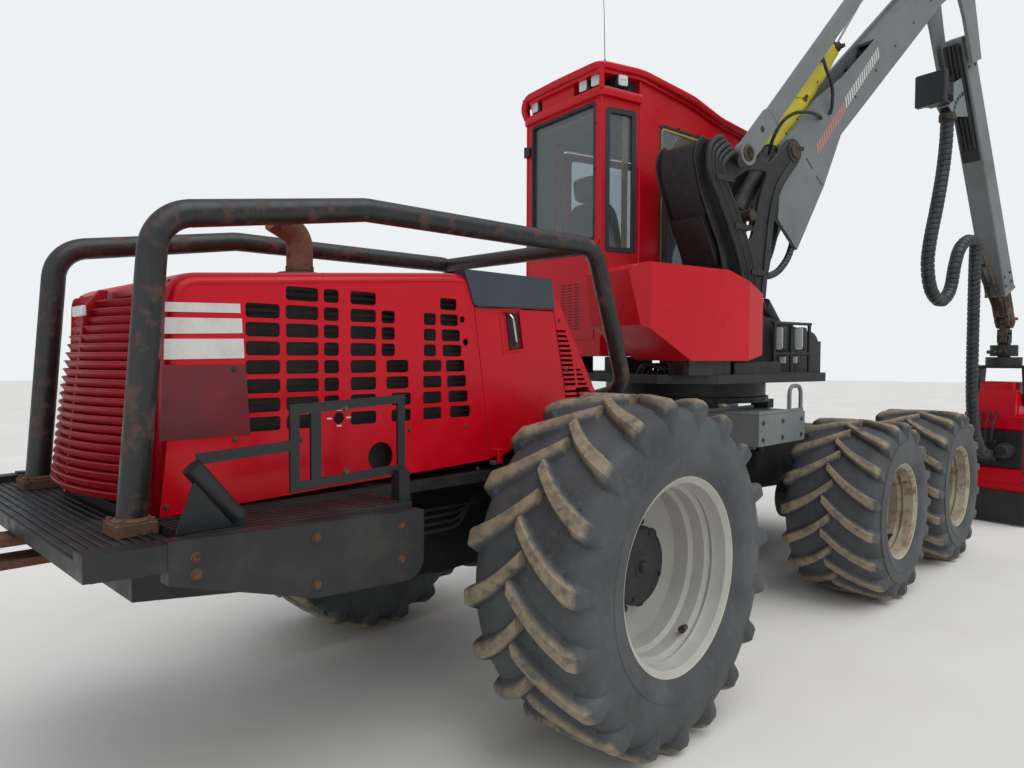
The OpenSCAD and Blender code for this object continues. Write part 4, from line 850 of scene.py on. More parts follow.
class HARVESTER_OT_hood(bpy.types.Operator):
    """Makes the engine hood: bent top, pierced sides, the mesh behind them and dark sheets inside it, painted
    shade of the engine bay.
    """

    bl_idname = "harvester.hood"
    bl_label = "Hood"

    def execute(self, context):
        s = context.scene.harvester_body
        top = skin(machine(hood_arch()[2]))
        outline = hood_side_outline()
        outline = np.concatenate([outline, [(0.498, HOOD_FOOT), (-1.92, HOOD_FOOT)]])
        holes = vent_holes(s.vent_height)
        round_holes = [ring(0.062, 24, (-1.031, 1.349)), ring(0.024, 16, (-1.2302, 1.522)),
            ring(0.016, 12, (-0.577, 1.94)), ring(0.017, 12, (-0.556, 1.836))]
        slots = []
        for k in range(17):
            z = 1.905 - k * 0.0255
            near = 0.082 + 0.0053 * k
            edge = np.interp(z, [1.524, 1.833, 2.148], [0.446, 0.232, 0.091]) - 0.045
            ends = [(near, min(near + 0.098, edge))] + ([(near + 0.115, edge)] if edge - near > 0.145 else [])
            slots += [rounded(b - a, 0.013, 0.005, 2, ((a + b) / 2, z)) for a, b in ends]
        right = pierced(outline, holes + round_holes + slots + [np.array(DOOR)[::-1]], s.sheet)
        left = pierced(outline, holes + slots, s.sheet)
        right, left = facing(right, "xz"), facing(left, "xz")
        shapes = [outward((machine(right[0] + [0, -HALF, 0]), right[1])),
                  outward((machine(left[0] + [0, HALF - s.sheet, 0]), left[1]))]
        piece("hood_sides", shapes, "enamel", "rear_frame", replaces=["hood"])
        roof = piece("hood_roof", [top], "enamel", "rear_frame", smooth=40)
        wall = roof.modifiers.new("Wall", "SOLIDIFY")
        wall.thickness, wall.offset = s.sheet, -1
        meshes = [lattice(x0, x1, 1.47, 2.045, -HALF + 0.012) for x0, x1 in ((-1.63, -0.85), (-0.82, -0.52))]
        meshes += [flipped(k) for k in meshes]
        piece("hood_mesh", [(machine(p), f) for p, f in meshes], "mesh", "rear_frame", smooth=60)
        # Dark sheets inside the hood behind its openings: painted shade of the engine bay
        backs = [box((-1.66, y0, 1.24), (-0.5, y0 + 0.01, 2.06)) for y0 in (-0.50, 0.49)]
        backs.append(box((0.10, -0.45, 1.24), (0.12, 0.45, 1.95)))
        piece("hood_shade_sheets", backs, "engine", "rear_frame", place=machine)
        return {"FINISHED"}


class HARVESTER_OT_hood_trim(bpy.types.Operator):
    """Makes the hood's stripes, foil, slate panels, hinge pins and screws."""

    bl_idname = "harvester.hood_trim"
    bl_label = "Hood trim"

    def execute(self, context):
        stripes = [
            [(-1.894, 1.947), (-1.635, 1.955), (-1.634, 1.922), (-1.895, 1.915)],
            [(-1.895, 1.896), (-1.629, 1.902), (-1.627, 1.850), (-1.898, 1.841)],
            [(-1.899, 1.824), (-1.624, 1.830), (-1.621, 1.760), (-1.901, 1.755)]]
        ticks = [[(x, z), (x + 0.022, z), (x + 0.022, z + 0.006), (x, z + 0.006)]
            for x, z in ((-1.241, 1.552), (-1.241, 1.488), (-1.285, 1.519), (-1.197, 1.519))]
        lie = (-HALF - 0.0012, -HALF + 0.0004)
        films = [slab(o, *lie, axes="xz") for o in stripes + ticks]
        piece("hood_stripes", films, "film_white", "rear_frame", place=machine)
        foil = slab([(-1.904, 1.737), (-1.617, 1.739), (-1.601, 1.482), (-1.915, 1.481)], *lie, axes="xz")
        piece("hood_foil", [foil], "foil_dark", "rear_frame", place=machine)
        a = np.linspace(0.1, 1.45, 5)
        corner = np.array([-0.521, 2.001]) + [0.045, 0.045] * (1 - np.stack([np.cos(a), np.sin(a)], -1))
        outline = np.concatenate([corner, [(0.056, 2.019), (0.028, 2.172), (-0.571, 2.172)]])
        shapes = [slab(outline, -HALF - 0.012, -HALF + 0.06, 0.004, "xz")]
        shapes.append(flipped(shapes[0]))
        piece("hood_name_panels", shapes, "panel_dark", "rear_frame", place=machine)
        # Knuckles of the service door's hinge that belong to the hood, and screws round the louvred panel
        parts = []
        for x, z in ((-0.382, 1.285), (0.06, 1.41)):
            parts.append(box((x - 0.02, -0.600, 1.250), (x, -0.566, 1.272)))
            parts.append(tube([(x - 0.005, -0.59, 1.262), (x + 0.04, -0.59, 1.262)], 0.006))
        piece("hood_hinge_pins", parts, "iron", "rear_frame", place=machine)
        screws = hexes([(x, -HALF - 0.001, z) for x, z in ((0.10, 1.96), (0.155, 1.70), (0.205, 1.48),
                (0.42, 1.50), (-1.66, 1.47), (-1.66, 1.72), (-1.40, 1.45), (-0.88, 1.45), (-0.48, 1.24),
                (-0.55, 1.45), (0.30, 1.26), (-1.9, 1.26))], (0, -1, 0), 0.007, 0.005)
        piece("hood_screws", [screws, flipped(screws)], "iron", "rear_frame", place=machine)
        return {"FINISHED"}


class HARVESTER_OT_service_door(bpy.types.Operator):
    """Makes the service door: folded sheet, latch pan with its chromed bar, hinge leaves."""

    bl_idname = "harvester.service_door"
    bl_label = "Service door"

    def execute(self, context):
        outer = outline_offset(np.array(DOOR), 0.005)
        inner = outline_offset(outer, 0.018)
        pan = np.array([(-0.329, 1.992), (-0.204, 1.998), (-0.171, 1.809), (-0.301, 1.797)])
        wide = outline_offset(pan, -0.003)
        shapes = []
        for outline, hole, thick, y in (
                (outer, wide, 0.004, 0), (outer, inner, 0.018, 0.0035),
                (outline_offset(wide, -0.008), pan, 0.024, -0.003)):
            p, f = facing(pierced(outline, [hole], thick, 0.0008), "xz")
            shapes.append(outward((p + [0, y - HALF, 0], f)))
        shapes.append(slab(wide, -HALF + 0.018, -HALF + 0.022, axes="xz"))
        for x, z in ((-0.382, 1.285), (0.06, 1.41)):
            shapes.append(pipe(0.001, 0.012, 0.006, 0.038, 20, (x, -0.59, 1.262), (1, 0, 0)))
            shapes.append(box((x + 0.006, -0.602, 1.262), (x + 0.038, -0.590, z + 0.04), 0.003))
            shapes.append(box((x + 0.006, -0.600, z + 0.005), (x + 0.038, -0.566, z + 0.04), 0.003))
        piece("service_panel", shapes, "enamel", "service_door", replaces=["service_door"], place=machine)
        # Dark strip in the latch pan behind the bar: painted shade of the well
        slot = slab([(-0.278, 1.992), (-0.206, 1.993), (-0.178, 1.813), (-0.248, 1.806)], -HALF + 0.010,
            -HALF + 0.0185, axes="xz")
        piece("latch_well_shade", [slot], "seal", "service_door", place=machine)
        bar = tube(smooth_path([(-0.256, -0.561, 1.975), (-0.250, -0.577, 1.955), (-0.226, -0.577, 1.84),
                (-0.222, -0.561, 1.825)], 0.015), 0.007, 12)
        piece("latch_bar", [bar], "chrome", "service_door", place=machine)
        return {"FINISHED"}


class HARVESTER_OT_grille(bpy.types.Operator):
    """Makes the rear grille: curved slats between posts, and its reflector."""

    bl_idname = "harvester.grille"
    bl_label = "Grille"

    def execute(self, context):
        count = context.scene.harvester_body.fins
        reach, bulge = 0.5095, 0.12
        y = np.linspace(-reach + 0.004, reach - 0.004, 41)
        # One slat's section: depth inwards from the bulge, height
        section = np.array([(0.0, 0.010), (0.002, 0.014), (0.05, 0.014), (0.05, 0.011), (0.012, 0.010),
                (0.020, -0.014), (0.017, -0.014), (0.004, 0.008)])
        shapes = []
        for i in range(count):
            z = 1.280 + i * 0.714 / count
            k = i / (count - 1)
            x = -2.075 + 0.075 * k + 0.05 * k ** 6 + bulge * (y[:, None] / reach) ** 2 + section[None, :, 0]
            grid = np.stack([x, np.broadcast_to(y[:, None], x.shape),
                    np.broadcast_to(z + section[None, :, 1], x.shape)], -1)
            shapes.append(skin(grid, round_cols=True, ends=True))
        for s in (-1, 1):
            shapes.append(slab([(-1.952, 1.256), (-1.85, 1.256), (-1.85, 2.03), (-1.86, 2.03),
                    (-1.88, 1.97)], s * (reach - 0.03), s * reach, 0.003, "xz"))
        shapes.append(slab([(-2.060, 1.258), (-2.0, 1.258), (-1.90, 2.02), (-1.93, 2.02), (-1.985, 1.95)],
                -0.010, 0.010, 0.003, "xz"))
        frame_path = [(-1.905, -0.512, 1.2365), (-1.905, 0.512, 1.2365), (-1.875, 0.512, 2.0),
            (-1.875, -0.512, 2.0), (-1.905, -0.512, 1.2365)]
        shapes.append(carried(rounded(0.03, 0.03, 0.006, 2), smooth_path(frame_path, 0.03)))
        # Slats, posts and frame get the deeper red: painted shade between the slats.
        piece("grille_slats", shapes, "enamel_deep", "rear_frame", replaces=["grille"], place=machine)
        plate = box((-2.008, -0.06, 1.915), (-1.990, 0.06, 1.955), 0.004)
        piece("grille_reflector", [plate], "lens", "rear_frame", slot="red_paint", place=machine)
        core = box((-1.84, -0.50, 1.262), (-1.815, 0.50, 1.975), 0.01)
        lines = joined([box((-1.8445, -0.5, z), (-1.839, 0.5, z + 0.006), 0.001)
                for z in np.arange(1.27, 1.97, 0.0175)])
        piece("cooler_core", [core, lines], "engine", "rear_frame", place=machine)
        return {"FINISHED"}


class HARVESTER_OT_rear_trim(bpy.types.Operator):
    """Makes the guard's flanges, bolts, the deck's ribs, the hitch pin, frame pipes and exhaust clamps."""

    bl_idname = "harvester.rear_trim"
    bl_label = "Rear trim"

    def execute(self, context):
        plates, bolts = [], []
        for s in (-1, 1):
            y = s * 0.59
            plates.append(box((-2.083, y - 0.063, 1.1925), (-1.952, y + 0.063, 1.235), 0.004))
            plates.append(turned([(0.047, 0), (0.062, 0), (0.062, 0.006), (0.052, 0.014), (0.047, 0.014)],
                    32, (-2.014, y, 1.234), (0, 0, 1)))
            bolts += [(x, y + d, 1.235) for x in (-2.068, -1.968) for d in (-0.045, 0.045)]
            y = s * 0.4025
            plates.append(box((0.592, y - 0.045, 1.473), (0.688, y + 0.045, 1.492), 0.003))
            bolts += [(x, y + d, 1.492) for x in (0.606, 0.674) for d in (-0.033, 0.033)]
        piece("guard_flanges", plates, "rust", "rear_frame", slot="black_paint", place=machine)
        side = [(-1.95, -0.94, 1.17), (-1.95, -0.94, 1.12), (-1.2, -0.94, 1.15), (-1.2, -0.94, 1.02),
            (-1.55, -0.94, 1.0), (-1.55, -0.94, 1.16)]
        nuts = [hexes(bolts, (0, 0, 1), 0.011, 0.012), hexes(side, (0, -1, 0), 0.012, 0.010),
            flipped(hexes(side, (0, -1, 0), 0.012, 0.010))]
        nuts.append(hexes([(-1.35, -0.806, z) for z in (1.345, 1.575)], (0, -1, 0), 0.010, 0.008))
        piece("rear_bolts", nuts, "rust", "rear_frame", place=machine)
        # Raised ribs of the half-round deck and the hitch's pin
        ribs = []
        for k in range(9):
            x = -1.985 - k * 0.03
            half = math.sqrt(0.86 ** 2 - (x + 1.95) ** 2) - 0.03
            ribs.append(box((x - 0.006, -half, 1.189), (x + 0.006, half, 1.196), 0.002))
        piece("deck_ribs", ribs, "chassis", "rear_frame", place=machine)
        pin = turned([(0.001, 0.985), (0.024, 0.985), (0.028, 0.99), (0.028, 1.135), (0.042, 1.138),
                (0.042, 1.15), (0.001, 1.152)], 28, (-2.42, 0, 0), (0, 0, 1))
        loop = tube(smooth_path([(-2.42, -0.018, 1.15), (-2.42, -0.018, 1.185), (-2.42, 0.018, 1.185),
                (-2.42, 0.018, 1.15)], 0.02), 0.006, 10)
        piece("hitch_pin", [pin, loop], "rust", "rear_frame", place=machine)
        # Steel pipes and valve block on the rear frame, seen through the wheel and the step
        parts = [box((-1.05, -0.52, 0.93), (-0.75, -0.41, 1.08), 0.01),
            box((0.45, -0.50, 0.93), (0.75, -0.41, 1.06), 0.01)]
        for k in range(4):
            low, high = 0.95 + k * 0.035, 1.09 - k * 0.012
            bends = ((-0.78, low), (-0.5, low), (-0.4, high), (0.3, high), (0.46, 1.03 - k * 0.02))
            line = smooth_path([(x, -0.455, z) for x, z in bends], 0.05)
            parts.append(tube(line, 0.008, 8))
        piece("frame_pipes", parts + [flipped(k) for k in parts], "casting", "rear_frame", place=machine)
        cap = pipe(0.057, 0.064, 0.0, 0.02, 40, (-1.08, 0, 2.165), (0, 0, 1))
        flange = pipe(0.062, 0.10, 0.0, 0.008, 40, (-1.08, 0, 2.146), (0, 0, 1))
        piece("exhaust_clamps", [cap, flange], "rust", "rear_frame", place=machine)
        return {"FINISHED"}


# Cab: its plan in the turntable frame, counterclockwise, and the roof's height along it
PLAN = np.array([(-0.95, -0.07), (-0.63, -0.12), (0.75, 0.01), (0.93, 0.19), (0.93, 0.56), (0.75, 0.745),
        (-0.63, 0.87), (-0.95, 0.80)])
ROOF = np.array([(-0.97, 3.775), (-0.637, 3.771), (-0.057, 3.715), (0.334, 3.64), (0.75, 3.60), (0.97, 3.58)])
FLOOR_Z = 1.78


def on_wall(i, shape):
    """Lays a shape drawn as (along the wall, inwards, up) on wall i of the cab's plan, in the part frame."""
    a, b = PLAN[i], PLAN[(i + 1) % 8]
    d = (b - a) / np.linalg.norm(b - a)
    u, y, z = np.moveaxis(shape[0], -1, 0)
    return outward((slewed(np.stack([a[0] + u * d[0] - y * d[1], a[1] + u * d[1] + y * d[0], z], -1)),
            shape[1]))


def wall_plate(i, outline, holes, depth, thick, edge=0.003):
    """A plate with holes on wall i: its outer face lies depth inside the wall's line."""
    p, f = facing(pierced(outline, holes, thick, edge), "xz")
    return on_wall(i, (p + [0, depth, 0], f))


def wall_length(i):
    """Length of wall i of the cab's plan."""
    return float(np.linalg.norm(PLAN[(i + 1) % 8] - PLAN[i]))


def roof_at(s):
    """Height of the roof's edge at s."""
    return np.interp(s, ROOF[:, 0], ROOF[:, 1])


# Underside of the lamps' recess above the ledge
LEDGE_Z = 3.652
# Low corner, high corner and corner radius of the right wall's window and of the left door's
SIDE_PANE = ((0.23, 2.25), (1.27, 3.49), 0.05)
DOOR_PANE = ((0.28, 2.35), (1.24, 3.43), 0.06)
# Windows: wall, corners and corner radius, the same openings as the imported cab's
WINDOWS = [(7, (0.06, 2.61), (0.80, 3.57), 0.02), (0, (0.035, 2.52), (0.29, 3.52), 0.03),
    (6, (0.035, 2.52), (0.29, 3.52), 0.03), (1, *SIDE_PANE), (2, (0.03, 2.15), (0.205, 3.52), 0.04),
    (3, (0.026, 2.15), (0.344, 3.52), 0.04), (4, (0.048, 2.15), (0.225, 3.52), 0.04),
    (5, (0.20, 1.87), (1.32, 3.48), 0.05)]


def opening(low, high, r, gap=0.0):
    """Rounded outline of a window, drawn in by gap."""
    size = np.subtract(high, low) - 2 * gap
    return rounded(size[0], size[1], max(r - gap * 0.5, 0.006), 4, np.add(low, high) / 2)


class HARVESTER_OT_cab(bpy.types.Operator):
    """Makes the cab's walls, window seals, ledge, roof, rail, hatch, aerial and louvred panel."""

    bl_idname = "harvester.cab"
    bl_label = "Cab"

    def execute(self, context):
        walls, seals, lining = [], [], []
        holes = {i: opening(low, high, r) for i, low, high, r in WINDOWS if i != 6}
        for i in range(8):
            length = wall_length(i)
            u = np.linspace(0, length, 9)
            d = (PLAN[(i + 1) % 8] - PLAN[i]) / length
            if i in (0, 7, 6):
                top = np.full(9, LEDGE_Z)
            else:
                top = roof_at(PLAN[i, 0] + u * d[0]) + 0.01
            outline = np.concatenate([[(0, FLOOR_Z), (length, FLOOR_Z)], np.column_stack([u, top])[::-1]])
            hole = [holes[i]] if i in holes else []
            walls.append(wall_plate(i, outline, hole, 0, 0.048, 0.005))
            inner = np.clip(outline, [0.03, FLOOR_Z + 0.05], [length - 0.03, 9]) - [0, 0.02]
            lining.append(wall_plate(i, inner, hole, 0.0485, 0.006, 0.002))
        for i, low, high, r in WINDOWS:
            if i in (5, 6):
                continue
            wide = 0.034 if i == 0 else 0.016
            seals.append(wall_plate(i, opening(low, high, r, -0.006), [opening(low, high, r, wide)], -0.004,
                    0.012, 0.003))
            seals.append(wall_plate(i, opening(low, high, r, -0.001), [opening(low, high, r, 0.010)], 0.008,
                    0.045, 0.002))
        # Corner beads where two walls meet
        beads = [tube(slewed([(p[0], p[1], FLOOR_Z + 0.002),
                (p[0], p[1], LEDGE_Z if k in (0, 7) else roof_at(p[0]))]), 0.008, 10)
            for k, p in enumerate(PLAN)]
        floor = outline_offset(PLAN, 0.01)
        walls.append(moved(slab(floor, FLOOR_Z + 0.001, FLOOR_Z + 0.05), slewed))
        # Ledge under the lamps: a box bar round the rear corners
        bar = [(-0.628, 0.868, 3.61), (-0.952, 0.803, 3.627), (-0.952, -0.073, 3.627), (-0.632, -0.122, 3.61)]
        walls.append(carried(rounded(0.056, 0.062, 0.008, 2), slewed(smooth_path(bar, 0.03, 4))))
        # Lower ledge under the rear window
        walls.append(carried(rounded(0.03, 0.02, 0.006, 2),
                slewed([(-0.955, 0.79, 2.585), (-0.955, -0.062, 2.585)])))
        # Roof: cross-sections at stations s, each a closed ring of the underside and a crowned top
        rows = []
        for s in np.linspace(-0.985, 0.965, 27):
            k = np.clip(s, -0.95, 0.93)
            right = np.interp(k, [-0.95, -0.63, 0.75, 0.93], [-0.07, -0.12, 0.01, 0.19]) - 0.022
            left = np.interp(k, [-0.95, -0.63, 0.75, 0.93], [0.80, 0.87, 0.745, 0.56]) + 0.022
            t = np.linspace(0, 1, 11)
            crown = 0.03 * (1 - (2 * t - 1) ** 2)
            z = roof_at(s) + 0.004
            upper = np.stack([np.full(11, s), right + (left - right) * t, z + 0.02 + crown], -1)
            lower = np.stack([np.full(11, s), left - (left - right) * t, np.full(11, z - 0.03)], -1)
            rows.append(np.concatenate([upper, lower]))
        walls.append(moved(skin(np.array(rows), round_cols=True, ends=True), slewed))

        # Rail round the roof's edge, with its end hoops at the rear corners
        def rail_side(side):
            mid = 0.375
            edge = [(-0.955, 0.79, 3.64), (-0.985, 0.80, 3.78), (-0.95, 0.825, 3.80),
                (-0.637, 0.895, 3.792), (-0.057, 0.835, 3.737), (0.334, 0.80, 3.662), (0.75, 0.765, 3.622),
                (0.955, 0.575, 3.602)]
            if side < 0:
                edge = [(s, 2 * mid - t if s > 0.3 else -0.07 - (t - 0.80), z) for s, t, z in edge]
            return edge
        left, right = rail_side(1), rail_side(-1)
        loop = [(-0.955, 0.795, 3.645), (-0.99, 0.80, 3.72), (-0.985, 0.75, 3.797), (-0.99, 0.36, 3.802),
            (-0.985, -0.085, 3.80), (-0.637, -0.142, 3.794)]
        loop += right[4:] + left[::-1][:5] + [(-0.90, 0.83, 3.80), (-0.962, 0.805, 3.74),
            (-0.955, 0.80, 3.66)]
        walls.append(carried(rounded(0.052, 0.05, 0.02, 3), slewed(smooth_path(loop, 0.07, 5))))
        # Posts and panel of the lamps' recess, and a dark block at its back: painted shade under the roof's
        # overhang
        walls.append(tube(slewed([(-0.958, -0.078, 3.64), (-0.97, -0.088, 3.79)]), 0.019, 12))
        walls.append(moved(box((-0.955, 0.235, 3.645), (-0.90, 0.615, 3.775), 0.008), slewed))
        recess = [slab([(-0.84, -0.04), (-0.60, -0.08), (-0.60, 0.83), (-0.84, 0.78)], 3.65, 3.78)]
        piece("cab_walls", walls, "enamel", "turntable", smooth=25, replaces=["cab"])
        piece("cab_beads", beads, "enamel", "turntable")
        piece("cab_window_seals", seals, "seal", "turntable")
        ceiling = moved(slab(outline_offset(PLAN, 0.06), 3.50, 3.53, 0.004), slewed)
        piece("cab_lining", lining + [ceiling], "lining", "turntable")
        piece("cab_lamp_recess_shade", recess, "seal", "turntable", place=slewed)
        # Louvred panel under the rear window: three columns of pressed slots
        slots = [rounded(0.058, 0.011, 0.005, 2, (0.47 + c * 0.075, 2.30 - k * 0.0215)) for c in range(3)
            for k in range(16)]
        panel = wall_plate(7, [(0.40, 1.90), (0.80, 1.90), (0.80, 2.40), (0.43, 2.40)], slots, -0.006,
            0.008, 0.001)
        # Dark red sheet behind the slots: painted shade seen through them
        back = wall_plate(7, [(0.42, 1.92), (0.78, 1.92), (0.78, 2.38), (0.44, 2.38)], [], -0.0012, 0.002, 0)
        piece("cab_louvres", [panel], "enamel", "turntable")
        piece("cab_louvre_shade_sheet", [back], "foil_dark", "turntable")
        hatch = [moved(slab(rounded(0.66, 0.60, 0.04, 3, (-0.33, 0.37)), 3.80, 3.852, 0.012), slewed)]
        hatch.append(carried(rounded(0.02, 0.012, 0.004, 2),
                slewed([(-0.66, 0.15, 3.85), (-0.02, 0.15, 3.85)])))
        piece("roof_hatch", hatch, "seal", "turntable", slot="black_paint")
        foot = turned([(0.001, 0), (0.022, 0), (0.022, 0.02), (0.010, 0.05), (0.0035, 0.09), (0.001, 0.09)],
            20, slewed([(-0.88, -0.02, 3.79)])[0], (0, 0, 1))
        whip = tube(slewed([(-0.88, -0.02, 3.87), (-0.89, -0.02, 4.2), (-0.93, -0.02, 4.72)]), 0.0022, 8,
            scale=[1.3, 1, 0.7])
        piece("aerial", [foot, whip], "seal", "turntable", slot="black_paint")
        # Bolts on the seals, and the rear window's hinges

        def dots(i, places, depth=-0.004):
            p, f = hexes([(u, depth, z) for u, z in places], (0, -1, 0), 0.007, 0.006)
            return on_wall(i, (p, f))
        knobs = [dots(7, [(0.80, z) for z in (2.75, 3.10, 3.42)]),
            dots(1, [(0.225, z) for z in (2.4, 2.62, 2.84, 3.06, 3.28, 3.47)]),
            dots(1, [(u, 3.497) for u in (0.45, 0.7, 0.95)])]
        for z in (2.70, 3.35):
            knobs.append(on_wall(7, box((0.0, -0.03, z), (0.05, 0.0, z + 0.07), 0.008)))
            knobs.append(on_wall(7, pipe(0.001, 0.014, -0.005, 0.075, 16, (0.004, -0.022, z), (0, 0, 1))))
        piece("window_hardware", knobs, "lamp_body", "turntable")
        strip = on_wall(0, box((0.195, 0.036, 2.555), (0.245, 0.046, 3.50), 0.004))
        tape = wall_plate(1, opening(*SIDE_PANE, 0.010), [opening(*SIDE_PANE, 0.034)], 0.004, 0.012, 0.002)
        piece("window_foam", [strip, tape], "foam", "turntable")
        return {"FINISHED"}


class HARVESTER_OT_work_lamps(bpy.types.Operator):
    """Makes the ribbed work lamps of the cab's corners, with brackets and lenses."""

    bl_idname = "harvester.work_lamps"
    bl_label = "Work lamps"

    def execute(self, context):
        bodies, lenses = [], []
        # Place (s, t, z) and heading of each lamp, in degrees left of ahead
        for s, t, z, turn in ((-0.93, 0.70, 3.715, 180), (-0.93, 0.13, 3.715, 185),
                (-0.93, 0.00, 3.715, 190), (-0.80, -0.105, 3.71, 258), (0.90, 0.50, 3.66, 0),
                (0.90, 0.26, 3.66, 0)):
            a = math.radians(turn)
            c = np.array([math.cos(a), math.sin(a)])

            def place(p, c=c, at=(s, t, z)):
                x, y, h = np.moveaxis(p, -1, 0)
                return slewed(np.stack([at[0] + x * c[0] - y * c[1], at[1] + x * c[1] + y * c[0],
                        at[2] + h], -1))

            bodies.append(moved(box((-0.035, -0.043, -0.043), (0.020, 0.043, 0.043), 0.012), place))
            bodies += [moved(box((-0.052, y - 0.002, -0.036), (-0.034, y + 0.002, 0.036), 0.001), place)
                for y in np.linspace(-0.034, 0.034, 7)]
            bodies.append(moved(carried(rounded(0.022, 0.004, 0.001, 1), smooth_path(
                [(0, -0.05, 0.0), (0, -0.05, -0.056), (0, 0.05, -0.056), (0, 0.05, 0.0)], 0.012)), place))
            pane = slab(rounded(0.074, 0.074, 0.012, 3), 0.0, 0.010, 0.003, "yz")
            bulb = slab(rounded(0.05, 0.012, 0.003, 2), 0.0, 0.014, 0.002, "yz")
            lenses += [moved((p + [0.019, 0, up], f), place) for (p, f), up in ((pane, 0), (bulb, 0.01))]
        piece("lamp_bodies", bodies, "lamp_body", "turntable", replaces=["work_lamps"], slot="lamp")
        piece("lamp_lenses", lenses, "lens", "turntable")
        return {"FINISHED"}


class HARVESTER_OT_cab_door(bpy.types.Operator):
    """Makes the cab's left door with its hinges, seal and grab bar."""

    bl_idname = "harvester.cab_door"
    bl_label = "Cab door"

    def execute(self, context):
        hole = opening(*DOOR_PANE)
        low = opening((0.30, 1.96), (1.22, 2.24), 0.05)
        panel = [wall_plate(5, opening((0.208, 1.878), (1.312, 3.464), 0.045), [hole], 0, 0.046, 0.006)]
        panel.append(wall_plate(5, low, [outline_offset(low, 0.012)], -0.003, 0.006, 0.001))
        for z in (1.98, 2.68, 3.33):
            panel.append(on_wall(5, pipe(0.0082, 0.015, 0.036, 0.076, 20, (1.322, -0.022, z), (0, 0, 1))))
            panel.append(on_wall(5, box((1.24, -0.030, z + 0.036), (1.318, -0.007, z + 0.076), 0.003)))
            panel.append(on_wall(5, box((1.24, -0.010, z + 0.036), (1.30, 0.005, z + 0.076), 0.002)))
        piece("door_panel", panel, "enamel", "cab_door", replaces=["cab_door"])
        seal = [wall_plate(5, opening(*DOOR_PANE, -0.008), [opening(*DOOR_PANE, 0.018)], -0.003, 0.008,
                0.002)]
        seal.append(wall_plate(5, opening(*DOOR_PANE), [opening(*DOOR_PANE, 0.012)], 0.004, 0.04, 0.002))
        piece("door_seal", seal, "seal", "cab_door")
        bar = smooth_path([(1.15, 0.044, 2.52), (1.15, 0.10, 2.53), (1.13, 0.11, 2.75), (1.15, 0.10, 2.97),
                (1.15, 0.044, 2.98)], 0.05)
        handle = smooth_path([(0.33, 0.002, 2.20), (0.33, -0.035, 2.20), (0.33, -0.035, 2.34),
                (0.33, 0.002, 2.34)], 0.02)
        grips = [on_wall(5, tube(bar, 0.012, 12)), on_wall(5, tube(handle, 0.008, 10)),
            on_wall(5, box((0.30, -0.008, 2.17), (0.36, 0.002, 2.37), 0.003))]
        grips += [on_wall(5, pipe(0.001, 0.024, 0, 0.006, 20, (1.15, 0.046, z), (0, 1, 0)))
            for z in (2.52, 2.98)]
        piece("door_grab_bar", grips, "seal", "cab_door", slot="black_paint")
        hinge = [on_wall(5, box((1.323, -0.034, z), (1.35, 0.003, z + 0.03), 0.003))
            for z in (1.98, 2.68, 3.33)]
        hinge += [on_wall(5, tube([(1.322, -0.022, z + 0.01), (1.322, -0.022, z + 0.078)], 0.008, 14))
            for z in (1.98, 2.68, 3.33)]
        piece("door_hinge_pins", hinge, "iron", "turntable", slot="red_paint")
        return {"FINISHED"}


def cushion(low, high, round_by, belly):
    """A stuffed block: a box's points drawn to a superellipse, each face bulging by belly in its middle."""
    n = 13
    a = np.linspace(-1, 1, n)
    shapes = []
    for k in range(3):
        for s in (-1, 1):
            u, v = np.meshgrid(a, a, indexing="ij")
            p = np.empty((n, n, 3))
            p[..., k], p[..., (k + 1) % 3], p[..., (k + 2) % 3] = s, u, v
            shapes.append((p.reshape(-1, 3), [quads(n, n)[:, ::s]]))
    cube = merged(joined(shapes), 1e-4)
    p = cube[0]
    power = 2.0 / round_by
    length = np.sum(np.abs(p) ** power, 1, keepdims=True) ** (1 / power)
    out = p / length * (1 + belly * (1 - p[:, :1] ** 2) * (1 - p[:, 1:2] ** 2))
    return out * (np.subtract(high, low) / 2) + np.add(low, high) / 2, cube[1]


